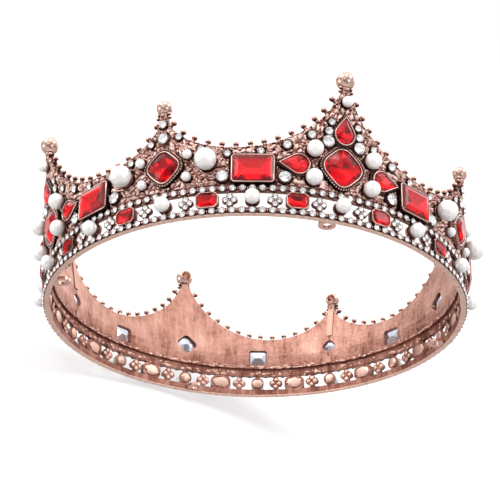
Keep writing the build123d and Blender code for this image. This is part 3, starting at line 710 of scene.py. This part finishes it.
def relief_sheet():
    s = np.concatenate([-half[::-1], half])
    arc = np.concatenate([[0], np.cumsum(np.hypot(np.diff(s[:, 0]) * 1.4 * 1.15, np.diff(s[:, 1]) * 0.72))])
    cols = np.interp(np.linspace(0, arc[-1], 470), arc, s[:, 0])
    cols = np.unique(np.concatenate([[-45 + 0.04], cols[1:-1], [45 - 0.04]]))
    rows = 104
    t = np.linspace(0, 1, rows)
    ez = edge_z(cols)
    D = np.repeat(cols[:, None], rows, 1)
    Z = 11.35 + (ez[:, None] - 0.12 - 11.35) * t[None]
    sd = stone_distance(D, Z)
    h = relief_height(D, Z)
    k = np.clip(sd / 0.5, 0, 1)
    off = 0.12 + 0.95 * h
    near_edge = np.clip((ez[:, None] - Z) / 0.7, 0, 1) * np.clip((Z - 11.35) / 0.5, 0, 1)
    off = off * near_edge - 0.25 * (1 - near_edge)
    off = off * k - 0.35 * (1 - k)
    cav = np.clip(h * 1.0 * k + 0.10, 0, 1)
    return D, Z, off, cav


D_, Z_, OFF_, CAV_ = relief_sheet()
nc, nr = D_.shape
quads = np.array([(i * nr + j, (i + 1) * nr + j, (i + 1) * nr + j + 1, i * nr + j + 1) for i in range(nc - 1) for j in range(nr - 1)])
# drop the faces that lie wholly under a setting
low_face = (OFF_.reshape(-1)[quads] < -0.3).all(1)
quads = quads[~low_face]
for name, q in zip(("front", "right", "rear", "left"), QUARTERS):
    a = np.radians(D_ + TALL + q)
    R = wall_r(Z_) + OFF_
    v = np.stack([R * np.sin(a), -R * np.cos(a), Z_ - OFF_ * np.where(Z_ > FLARE_Z, FLARE, 0)], -1).reshape(-1, 3) * MM
    me = bpy.data.meshes.new(name + "_relief")
    me.from_pydata(v.tolist(), [], quads.tolist())
    me.materials.append(M_RELIEF)
    me.polygons.foreach_set("use_smooth", np.ones(len(quads), bool))
    at = me.attributes.new("cav", "FLOAT", "POINT")
    at.data.foreach_set("value", CAV_.reshape(-1).astype(np.float32))
    me.update()
    ob = bpy.data.objects.new(name + "_relief", me)
    bpy.context.scene.collection.objects.link(ob)
    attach(ob, "root")

# ------------------------------------------------------------------ ball studs, edge beads, granules, edge wires
studs, beads, grains = Batch(), Batch(), Batch()
for q in QUARTERS:
    for (d, z), (ed, ez) in zip(STUDS, EDGE):
        for s in (1, -1):
            r = float(wall_r(z)) - WALL_T / 2
            at = axes_at(TALL + q + s * d, z, r)
            studs.add(ICO2[0] * 1.10, ICO2[1], at)
            e = axes_at(TALL + q + s * ed, ez, float(wall_r(ez)) - WALL_T / 2)
            p0, p1 = e[0], at[0]
            path = np.array([p0 + (p1 - p0) * t for t in (-0.45, 0.0, 0.25, 0.5, 0.9)])
            v, f = tube(path, [1.05, 0.95, 0.80, 0.70, 0.68], 10, closed=False)
            studs.add(v, f)
studs.make("edge_studs", [M_STUD], "polished_rose_metal")

arc = np.concatenate([[0], np.cumsum(np.hypot(np.diff(half[:, 0]) * 1.42, np.diff(half[:, 1])))])
nb = int(arc[-1] / 0.98)
bd = np.interp(np.linspace(0.4, arc[-1] - 0.4, nb), arc, half[:, 0])
bz = np.interp(np.linspace(0.4, arc[-1] - 0.4, nb), arc, half[:, 1])
td, tz = np.gradient(bd) * 1.42, np.gradient(bz)
tl = np.hypot(td, tz)
# beads lie just inside the edge, on the outer face
bd2, bz2 = bd + (tz / tl) * 0.42 / 1.42 * 1.0, bz - (td / tl) * 0.42
rope, wires = Batch(), Batch()
for q in QUARTERS:
    for s in (1, -1):
        line = []
        for i, (d, z) in enumerate(zip(bd2, bz2)):
            at = axes_at(TALL + q + s * d, z, float(wall_r(z)) + 0.16, FLARE_DEG)
            line.append(at[0])
            if i % 3 != 2:
                rope.add(ICO2[0] * np.array([0.50, 0.50, 0.46]), ICO2[1], at)
        v, f = tube(np.array(line), [0.40] * len(line), 6, closed=False)
        wires.add(v, f)
rope.make("edge_rope_beads", [M_ROPE], "rose_metal")

# granules between the stones
gd = rng.uniform(-44.5, 44.5, 2600)
gz = rng.uniform(12.3, 44, 2600)
ok = (stone_distance(gd, gz) > 0.55) & (gz < edge_z(gd) - 1.3)
gd, gz = gd[ok], gz[ok]
keep = []
for i in range(len(gd)):
    if all(hypot((gd[i] - gd[j]) * 1.4, gz[i] - gz[j]) > 1.9 for j in keep):
        keep.append(i)
gd, gz = gd[keep], gz[keep]
gr = rng.uniform(0.34, 0.62, len(gd))
for q in QUARTERS:
    for d, z, r in zip(gd, gz, gr):
        at = axes_at(TALL + q + d, z, float(wall_r(z)) + 0.45, tilt_at(z))
        grains.add(ICO2[0] * r if r > 0.5 else ICO1[0] * r, ICO2[1] if r > 0.5 else ICO1[1], at)
grains.make("wall_granules", [M_BEAD], "rose_metal")

# ------------------------------------------------------------------ rough backs inside: domed band pieces and lumps along the ledge
backs = Batch()


def dome(at, a, b, h):
    """A low rounded lump on an inner face; local N points outward, so it grows toward -N."""
    v = ICO2[0] * np.array([a, b, h])
    backs.add(v * (1 + 0.07 * rng.standard_normal((len(v), 1))), ICO2[1], at)


for k in range(16):
    dome(axes_at(22.5 * k, BAND_Z, 78.35), 2.1, 2.1, 0.42)
    dome(axes_at(11.25 + 22.5 * k, BAND_Z, 78.35), 3.4, 2.4, 0.30)
for k in range(32):
    at = axes_at(5.625 + 11.25 * k, BAND_Z, 78.35)
    for x, y in ((1.45, 0), (-1.45, 0), (0, 1.45), (0, -1.45)):
        x, y = x + rng.uniform(-0.16, 0.16), y + rng.uniform(-0.16, 0.16)
        dome((at[0] + at[1][0] * x + at[1][1] * y, at[1]), rng.uniform(0.80, 1.0), rng.uniform(0.80, 1.0), rng.uniform(0.12, 0.34))
for k in range(260):
    a = rng.uniform(0, 360)
    z = (LOW_Z, UP_Z)[k % 2] + rng.uniform(-0.7, 0.7)
    dome(axes_at(a, z, 78.4), rng.uniform(0.5, 1.5), rng.uniform(0.35, 0.8), rng.uniform(0.20, 0.42))
for k in range(420):
    a = rng.uniform(0, 360)
    z = 12.1 + abs(rng.normal(0, 0.55))
    dome(axes_at(a, z, float(wall_r(z)) - WALL_T), rng.uniform(0.35, 1.1), rng.uniform(0.25, 0.55), rng.uniform(0.15, 0.40))
for k in range(200):
    a = rng.uniform(0, 360)
    z = rng.uniform(8.9, 11.2)
    dome(axes_at(a, z, 78.4), rng.uniform(0.35, 0.9), rng.uniform(0.25, 0.6), rng.uniform(0.2, 0.45))
backs.make("cast_backs", [M_BACK], "rose_metal")

# ------------------------------------------------------------------ red stones and their settings
rims, moats = Batch(), Batch()
cups = Batch()


def seat_at(az, z, spin=0.0):
    return axes_at(az, z, float(wall_r(z)) + SEAT, tilt_at(z), spin)


def shifted(at, h):
    return at[0] + at[1][2] * h, at[1]


def put(batch, gem, at, h):
    v, f, m = gem
    batch.add(v, f, shifted(at, h), mats=m)


def bezel(outline, at, h, r=0.34, bead=None, bead_r=0.36, base=0.0, skirt=True):
    """Rounded bright rim on top of the bezel box, its outer skirt, and a beaded border."""
    p = np.asarray(outline, float)
    p3 = np.concatenate([p, np.full((len(p), 1), h)], 1)
    v, f = tube(p3, r, 8)
    rims.add(v, f, at)
    if bead is not None:
        q = np.asarray(bead, float)
        mid = (q + p) / 2 if len(q) == len(p) else p
        v, f = tube(np.concatenate([mid, np.full((len(mid), 1), h - 0.28)], 1), 0.44, 6)
        moats.add(v, f, at)
        seg = np.roll(q, -1, 0) - q
        ln = np.hypot(seg[:, 0], seg[:, 1])
        cum = np.concatenate([[0], np.cumsum(ln)])
        n = int(cum[-1] / (bead_r * 3.0))
        for s in np.arange(n) * cum[-1] / n:
            i = min(np.searchsorted(cum, s, "right") - 1, len(q) - 1)
            t = (s - cum[i]) / ln[i]
            c = q[i] + seg[i] * t
            beads.add(ICO1[0] * bead_r + np.array([c[0], c[1], base]), ICO1[1], at)


TH = np.linspace(0, 2 * pi, 64, endpoint=False)
g_big = brilliant(lambda t: cushion_outline(t, 12.25), 1.70, 1.15, table=0.50)
g_small = brilliant(lambda t: cushion_outline(t, 10.2), 1.50, 0.95, table=0.50)
g_pear = brilliant(lambda t: pear_outline(t, 10.2, 7.2), 1.25, 1.0, table=0.50, centre=(0, -1.0), turn=pi / 2)
W, H, C = 14.3, 10.4, 0.65
g_rect = hip_back([(rect_pts(W, H, C), 0.0), (rect_pts(W, H, C, 0.02), 0.25), (rect_pts(W, H, C, 1.0), 0.95), (rect_pts(W, H, C, 2.1), 1.35)], rect_pts(W, H, C), 2.2, 0.80)
W, H, C = 7.5, 5.7, 1.15
g_oct = hip_back([(rect_pts(W, H, C), 0.0), (rect_pts(W, H, C, 0.02), 0.15), (rect_pts(W, H, C, 0.6), 0.60), (rect_pts(W, H, C, 1.25), 0.88)], rect_pts(W, H, C), 1.0, 0.42)

b1, b2, b3, b4, b5, b6 = Batch(), Batch(), Batch(), Batch(), Batch(), Batch()
foils = Batch()
CUP_R, CUP_T = 80.39, FLARE_DEG / 2


def window_back(at, outline, ridge, depth, h, axis=0):
    """The foiled pavilion that shows through a window: it rises toward the inside of the crown."""
    p = np.asarray(outline, float)
    n = len(p)
    v = [(x, y, h) for x, y in p] + [(ridge, 0, h - depth), (-ridge, 0, h - depth)]
    if axis:
        v[-2:] = [(0, ridge, h - depth), (0, -ridge, h - depth)]
    f = []
    for i in range(n):
        j = (i + 1) % n
        a, b = p[i][axis], p[j][axis]
        if a > 0 and b > 0 or (a >= 0 and b >= 0):
            f.append((j, i, n))
        elif a <= 0 and b <= 0:
            f.append((j, i, n + 1))
        else:
            f.append((j, i, n, n + 1) if a > 0 else (j, i, n + 1, n))
    f.append(tuple(range(n)))
    foils.add(v, f, at)


for q in QUARTERS:
    at = seat_at(TALL + q, 20.6)
    put(b1, g_big, at, 1.20)
    window_back(at, cushion_outline(np.arange(8) * pi / 4 + pi / 8, 8.3), 0.9, 0.95, -1.05)
    bezel(cushion_outline(TH, 12.62), at, BEZEL_H, 0.21, cushion_outline(TH, 14.5), 0.33, BEZEL_H - 0.22)
    at = axes_at(SHORT + q, 20.3, CUP_R, CUP_T)
    put(b2, g_small, at, 1.60)
    window_back(axes_at(SHORT + q, 20.3, float(wall_r(20.3)), CUP_T), cushion_outline(np.arange(8) * pi / 4 + pi / 8, 6.4), 0.4, 0.8, -0.75)
    bezel(cushion_outline(TH, 10.55), at, 1.88, 0.20, cushion_outline(TH, 12.3), 0.32, 1.62)
    for s in (-1, 1):
        at = seat_at(TALL + s * 22.5 + q, 17.1)
        put(b3, g_rect, at, 1.25)
        window_back(at, rect_pts(9.2, 8.2, 1.0), 1.2, 0.9, -1.15)
        bezel(rect_pts(14.62, 10.72, 0.75), at, BEZEL_H, 0.19)
        at = seat_at(TALL + s * 12.3 + q, 19.8, -90 * s)
        put(b5, g_pear, at, 1.20)
        bezel(pear_outline(TH, 10.7, 7.5), at, BEZEL_H, 0.20, pear_outline(TH, 12.3, 8.7), 0.30, 0.75)
    at = seat_at(TALL + q, 34.7)
    put(b4, g_pear, at, 1.20)
    bezel(pear_outline(TH, 10.7, 7.5), at, BEZEL_H, 0.20, pear_outline(TH, 12.3, 8.7), 0.30, 0.75)
for k in range(16):
    at = axes_at(11.25 + 22.5 * k, BAND_Z, 79.5)
    put(b6, g_oct, at, 0.75)
    bezel(rect_pts(7.72, 5.92, 1.22), at, 0.92, 0.15)
for b, name, rep_ in ((b1, "large_cushion_gems", ("large_cushion_stones",)), (b2, "small_cushion_gems", ("small_cushion_stones",)),
                      (b3, "rectangle_gems", ("rectangle_stones",)), (b4, "top_pear_gems", ("top_pear_stones",)),
                      (b5, "side_pear_gems", ("side_pear_stones",)), (b6, "band_octagon_gems", ("band_octagon_stones",))):
    pair = [M_RED_D, M_FOIL_D] if b is b2 or b is b6 else ([M_RED_D, M_FOIL_R] if b is b1 else [M_RED, M_FOIL_R])
    b.make(name, pair, "red_glass", smooth=False, replaces=rep_)
foils.make("window_foil_backs", [M_FOIL_B], "stone_foil", smooth=False, replaces=("large_cushion_foils", "small_cushion_foils", "rectangle_foils"))

# ------------------------------------------------------------------ clear stones, cups and prongs
def rhinestone(batch, at, d, spin=0.0):
    """A brilliant in a round ring cup with four bead prongs."""
    v, f, m = brilliant(lambda t: round_outline(t, d), 0.17 * d, 0.27 * d, table=0.52, girdle=0.03 * d)
    c, s = cos(spin), sin(spin)
    rot = np.array([[c, s, 0], [-s, c, 0], [0, 0, 1]])
    batch.add(v @ rot, f, shifted(at, 0.29 * d), mats=m)
    v, f = torus(d / 2 + 0.06, 0.15, 20, 6)
    cups.add(v, f, shifted(at, 0.24 * d))
    for k in range(4):
        a = pi / 4 + k * pi / 2 + spin
        p = np.array([cos(a), sin(a), 0]) * (d / 2 + 0.02)
        beads.add(ICO1[0] * np.array([0.25, 0.25, 0.27]) * (1.0 if d < 3 else 1.25) + p + np.array([0, 0, 0.36 * d]), ICO1[1], at)


CL = {"large": Batch(), "medium": Batch(), "small": Batch(), "low": Batch(), "up": Batch(), "cross": Batch()}


def clear_key(d):
    return "large" if d > 3.5 else ("medium" if d > 2.5 else "small")


for q in QUARTERS:
    for base, rows in ((TALL, TALL_CLEAR), (SHORT, SHORT_CLEAR)):
        for d, z, s in rows:
            at = axes_at(base + d + q, z, float(wall_r(z)) + SEAT_H * float(np.cos(radians(tilt_at(z)))), tilt_at(z))
            rhinestone(CL[clear_key(s)], at, s, rng.uniform(0, pi / 2))
for k in range(144):
    rhinestone(CL["low"], axes_at(2.5 * k, LOW_Z, RAIL_R + 0.02), 2.2, rng.uniform(0, pi / 2))
    rhinestone(CL["up"], axes_at(2.5 * k, UP_Z, RAIL_R + 0.02), 2.2, rng.uniform(0, pi / 2))
    for z in (LOW_Z, UP_Z):
        at = axes_at(2.5 * k + 1.25, z, RAIL_R + 0.22)
        beads.add(ICO1[0] * 0.40, ICO1[1], at)
for k in range(32):
    at = axes_at(5.625 + 11.25 * k, BAND_Z, BAND_R1 + 0.02)
    for x, y in ((1.48, 0), (-1.48, 0), (0, 1.48), (0, -1.48)):
        a2 = (at[0] + at[1][0] * x + at[1][1] * y, at[1])
        rhinestone(CL["cross"], a2, 2.0, rng.uniform(0, pi / 2))
    beads.add(ICO1[0] * 0.36 + np.array([0, 0, 0.55]), ICO1[1], at)
for key, name, rep in (("large", "large_clear_gems", "large_clear_stones"), ("medium", "medium_clear_gems", "medium_clear_stones"), ("small", "small_clear_gems", "small_clear_stones"),
                       ("low", "lower_rail_gems", "lower_rail_stones"), ("up", "upper_rail_gems", "upper_rail_stones"), ("cross", "quatrefoil_gems", "quatrefoil_stones")):
    CL[key].make(name, [M_CLEAR, M_FOIL], "clear_glass", smooth=False, replaces=(rep,))
cups.make("stone_cups", [M_DARK], "rose_metal")
beads.make("milgrain_beads", [M_BEAD], "rose_metal")
rims.make("bezel_rims", [M_RIM], "polished_rose_metal")
moats.make("bezel_channels", [M_MOAT], "rose_metal")
wires.make("edge_wires", [M_MOAT], "rose_metal")

# ------------------------------------------------------------------ pearls
def pearl(batch, at, d, spin):
    v = ICO3[0] * (d / 2) * np.array([1.0, 1.0, 0.985])
    f = ICO3[1]
    batch.add(v + np.array([0, 0, d / 2 + 0.05]), f, at)
    vr, fr = torus(d * 0.30, 0.28, 20, 6)
    pcups.add(vr, fr, shifted(at, 0.12))


pcups = Batch()
PB = {k: Batch() for k in ("band", "large", "medium", "small", "tip")}
for k in range(16):
    pearl(PB["band"], axes_at(22.5 * k, BAND_Z, BAND_R1), 5.5, 0)
for q in QUARTERS:
    for base, rows in ((TALL, TALL_PEARLS), (SHORT, SHORT_PEARLS)):
        for d, z, s in rows:
            t = tilt_at(z)
            o, A = axes_at(base + d + q, z, float(wall_r(z)), t)
            key = "tip" if s == 4.0 else ("medium" if s == 6.0 else ("large" if s > 7 else "small"))
            pearl(PB[key], (o + A[2] * SEAT_H, A), s, 0)
for k, rep in (("band", "band_pearls"), ("large", "large_pearls"), ("medium", "medium_pearls"), ("small", "small_pearls"), ("tip", "tip_pearls")):
    PB[k].make(k + "_nacre_pearls", [M_PEARL], "pearl", replaces=(rep,))
pcups.make("pearl_cups", [M_ANTIQUE], "rose_metal")

# ------------------------------------------------------------------ finial balls, open at the back
def finial(batch, az, z, r, tip_z):
    rr = float(wall_r(z)) - WALL_T / 2
    at = axes_at(az, z, rr)
    n, m = 40, 26
    v, f = [], []
    # the shell is drawn as rings around the outward axis: outside from the pole to the mouth, then back inside
    a0 = pi - np.arcsin(0.60)
    prof = [(r * np.sin(a), r * np.cos(a)) for a in np.linspace(0.0, a0, 22)]
    prof += [(0.60 * r - 0.08, -r * cos(np.arcsin(0.60)) - 0.02), (0.52 * r, -r * 0.55), (0.50 * r, -r * 0.2), (0.35 * r, r * 0.05), (0.0, r * 0.15)]
    for p, h in prof:
        for k in range(n):
            t = 2 * pi * k / n
            v.append((p * cos(t), p * sin(t), h))
    for i in range(len(prof) - 1):
        for k in range(n):
            f.append((i * n + k, i * n + (k + 1) % n, (i + 1) * n + (k + 1) % n, (i + 1) * n + k))
    batch.add(v, f, at, flip=True)
    h = z - tip_z
    pts = np.array([(0, -h - 0.6, 0), (0, -h, 0), (0, -h + 0.35, 0), (0, -r * 0.86, 0), (0, -r * 0.5, 0)], float)
    v, f = tube(pts, [1.5, 1.5, 1.25, 1.05, 1.2], 16, closed=False)
    batch.add(v, f, at)
    v, f = torus(1.35, 0.26, 20, 8)
    v = v[:, [0, 2, 1]] + np.array([0, -h + 0.05, 0])
    batch.add(v, f, at)
    # small beads soldered on both sides of the neck
    for x, y, b in ((1.75, -h + 0.35, 0.85), (-1.75, -h + 0.35, 0.85), (2.25, -h - 1.15, 0.70), (-2.25, -h - 1.15, 0.70)):
        necks.add(ICO2[0] * b + np.array([x, y, 0.15]), ICO2[1], at)


ft, fs, necks = Batch(), Batch(), Batch()
for q in QUARTERS:
    finial(ft, TALL + q, 54.8, 3.5, TALL_TIP_Z)
    finial(fs, SHORT + q, 44.0, 2.9, SHORT_TIP_Z)
necks.make("finial_neck_beads", [M_STUD], "polished_rose_metal")
ft.make("tall_finials", [M_FINIAL], "polished_rose_metal", replaces=("tall_finial_balls",))
fs.make("short_finials", [M_FINIAL], "polished_rose_metal", replaces=("short_finial_balls",))

# ------------------------------------------------------------------ materials of the CAD nodes that stay
def paint(node, mat):
    ob = frame["nodes"][node] if isinstance(frame["nodes"], dict) else bpy.data.objects[node]
    ob = bpy.data.objects[ob] if isinstance(ob, str) else ob
    if not ob.material_slots:
        ob.data.materials.append(mat)
    for s in ob.material_slots:
        s.material = mat


for n in ("front_panel", "right_panel", "rear_panel", "left_panel"):
    paint(n, M_PANEL)
paint("seam_bezel_cups", M_ANTIQUE)
paint("rim_loops", M_BRIGHT)
paint("seam_solder", M_SOLDER)
for n in ("band_pearl_pegs", "wall_pearl_pegs"):
    paint(n, M_ANTIQUE)

# ------------------------------------------------------------------ stage, light and camera
D, EL, ROLL, F, AZ0, TX, TZ = 697.5126, -27.6973, 1.0219, 1798.97, -1.3299, -2.3428, 27.792
el = radians(EL)
back = np.array([0, -cos(el), sin(el)])
pos = back * D + np.array([TX, 0, TZ])
fwd = -back
right = np.cross(fwd, [0, 0, 1.0]); right /= np.linalg.norm(right)
up = np.cross(right, fwd)
ro = radians(ROLL)
R2, U2 = cos(ro) * right + sin(ro) * up, -sin(ro) * right + cos(ro) * up
g = radians(-AZ0)
RZ = np.array([[cos(g), -sin(g), 0], [sin(g), cos(g), 0], [0, 0, 1]])
pos, R2, U2, fwd = RZ @ pos, RZ @ R2, RZ @ U2, RZ @ fwd
cam_data = bpy.data.cameras.new("camera")
cam_data.sensor_width = 36.0
cam_data.lens = F / 500.0 * 36.0
cam_data.clip_start, cam_data.clip_end = 0.01, 20.0
cam = bpy.data.objects.new("camera", cam_data)
M = Matrix([[R2[0], U2[0], -fwd[0], pos[0] * MM], [R2[1], U2[1], -fwd[1], pos[1] * MM], [R2[2], U2[2], -fwd[2], pos[2] * MM], [0, 0, 0, 1]])
cam.matrix_world = M
bpy.context.scene.collection.objects.link(cam)
bpy.context.scene.camera = cam
bpy.context.scene.view_settings.view_transform = "Standard"

world = bpy.data.worlds.new("studio")
world.use_nodes = True
bpy.context.scene.world = world
wt = world.node_tree
wt.nodes.clear()
out = wt.nodes.new("ShaderNodeOutputWorld")
bg = wt.nodes.new("ShaderNodeBackground")
bgc = wt.nodes.new("ShaderNodeBackground")
bgc.inputs[0].default_value = (1, 1, 1, 1); bgc.inputs[1].default_value = 1.0
lp = wt.nodes.new("ShaderNodeLightPath")
mx = wt.nodes.new("ShaderNodeMixShader")
tc = wt.nodes.new("ShaderNodeTexCoord")


def spot(direction, inner, outer):
    """1 inside a patch of the sky around a direction, 0 outside it."""
    d = np.array(direction, float); d /= np.linalg.norm(d)
    dot = wt.nodes.new("ShaderNodeVectorMath"); dot.operation = "DOT_PRODUCT"
    dot.inputs[1].default_value = tuple(d)
    wt.links.new(tc.outputs["Generated"], dot.inputs[0])
    mr = wt.nodes.new("ShaderNodeMapRange"); mr.interpolation_type = "SMOOTHSTEP"
    mr.inputs["From Min"].default_value = cos(radians(outer)); mr.inputs["From Max"].default_value = cos(radians(inner))
    wt.links.new(dot.outputs["Value"], mr.inputs["Value"])
    return mr.outputs[0]


def level(v):
    return (v, v, v)


nzr = wt.nodes.new("ShaderNodeTexNoise"); nzr.inputs["Scale"].default_value = 2.3; nzr.inputs["Detail"].default_value = 1.0
wt.links.new(tc.outputs["Generated"], nzr.inputs["Vector"])
szw = wt.nodes.new("ShaderNodeSeparateXYZ"); wt.links.new(tc.outputs["Generated"], szw.inputs[0])
height = math(wt, "MULTIPLY_ADD", szw.outputs[2], 0.5, math(wt, "MULTIPLY_ADD", nzr.outputs[0], 0.5, 0.25))
base = ramp(wt, height, [(0.05, level(0.90)), (0.30, level(0.58)), (0.46, level(0.66)), (0.62, level(0.90)), (0.90, level(1.45))])
base = mix(wt, base, level(0.26), spot((0.0, 0.885, 0.465), 10, 34))
base = mix(wt, base, level(0.16), spot((0.0, 0.40, -0.92), 14, 30))
for d, i_, o_, v in (((-0.3, -0.9, -0.35), 8, 17, 0.10), ((0.50, -0.85, 0.12), 7, 15, 0.12), ((-0.9, -0.5, 0.30), 6, 14, 0.12), ((0.95, -0.22, 0.35), 7, 14, 0.15), ((0.77, 0.33, 0.55), 14, 27, 1.25), ((-0.75, 0.3, 0.45), 8, 18, 0.18),
                      ((0.05, -0.85, -0.25), 4, 10, 0.10), ((-0.62, -0.55, 0.72), 7, 15, 7.0), ((0.80, -0.42, 0.52), 6, 13, 6.0), ((-0.95, -0.20, -0.12), 6, 14, 4.0), ((0.12, -0.55, 0.83), 5, 11, 6.5),
                      ((0.5, 0.6, 0.6), 10, 22, 2.6), ((0.62, -0.75, -0.32), 5, 10, 5.0), ((-0.25, -0.95, -0.02), 3, 7, 4.0), ((-0.35, 0.5, 0.8), 8, 18, 3.0)):
    base = mix(wt, base, level(v), spot(d, i_, o_))
base = mix(wt, base, level(0.30), spot(R2 * 0.17 - U2 * 0.26 - fwd * 0.95, 9, 24))
wt.links.new(base, bg.inputs[0])
bg.inputs[1].default_value = 1.0
wt.links.new(lp.outputs["Is Camera Ray"], mx.inputs[0])
wt.links.new(bg.outputs[0], mx.inputs[1])
wt.links.new(bgc.outputs[0], mx.inputs[2])
wt.links.new(mx.outputs[0], out.inputs[0])


# a pale floor that touches the lowest point of the leaning crown
LEAN = radians(32.0)  # the crown leans on the rear left of its rim
fa, fb = np.array([cos(LEAN), sin(LEAN), 0.0]), np.array([0.60 * sin(LEAN), -0.60 * cos(LEAN), -0.80])
base_pt = np.array([-0.0818 * sin(LEAN), 0.0818 * cos(LEAN), -0.0006])
fv, ff = [], []
for i_ in range(2):
    for j_ in range(2):
        fv.append(tuple(base_pt + fa * (-1.2 + 2.4 * i_) + fb * (-0.8 + 2.0 * j_)))
fm = bpy.data.meshes.new("floor")
fm.from_pydata(fv, [], [(0, 1, 3, 2)])
floor = bpy.data.objects.new("floor", fm)
bpy.context.scene.collection.objects.link(floor)
m_floor, ntf, bf = new_mat("floor_paper")
nf = noise(ntf, obj_coord(ntf), 30.0, 2.0)
ntf.links.new(ramp(ntf, nf, [(0.3, (0.42, 0.42, 0.40)), (0.7, (0.45, 0.45, 0.43))]), bf.inputs["Base Color"])
bf.inputs["Roughness"].default_value = 0.9
bf.inputs["Specular IOR Level"].default_value = 0.0
bf.inputs["Emission Color"].default_value = (0.975, 0.955, 1.0, 1)
bf.inputs["Emission Strength"].default_value = 0.53
gb, tb, mb = ntf.nodes.new("ShaderNodeNewGeometry"), ntf.nodes.new("ShaderNodeBsdfTransparent"), ntf.nodes.new("ShaderNodeMixShader")
ntf.links.new(gb.outputs["Backfacing"], mb.inputs[0])
ntf.links.new(bf.outputs[0], mb.inputs[1])
ntf.links.new(tb.outputs[0], mb.inputs[2])
ntf.links.new(mb.outputs[0], ntf.nodes["Material Output"].inputs[0])
fm.materials.append(m_floor)
floor.visible_glossy = floor.visible_diffuse = floor.visible_transmission = floor.visible_shadow = False


def area(name, loc, target, size, power, col=(1, 1, 1)):
    l = bpy.data.lights.new(name, "AREA")
    l.shape, l.size, l.energy, l.color = "SQUARE", size, power, col
    o = bpy.data.objects.new(name, l)
    d = Vector(target) - Vector(loc)
    o.rotation_euler = d.to_track_quat("-Z", "Y").to_euler()
    o.location = loc
    bpy.context.scene.collection.objects.link(o)
    o.visible_glossy = o.visible_transmission = False
    return o


def aimed(x, y, z):
    """A place given by right, up and nearer as the camera sees them, in metres from the crown."""
    return tuple(R2 * x + U2 * y - fwd * z + np.array([0, 0, 0.03]))


area("key_light", aimed(0.95, 0.80, 0.65), (0, 0, 0.02), 0.8, 8.5)
area("fill_light", aimed(-0.9, 0.55, 0.9), (0, 0, 0.02), 0.8, 3.2, (1.0, 0.98, 0.96))
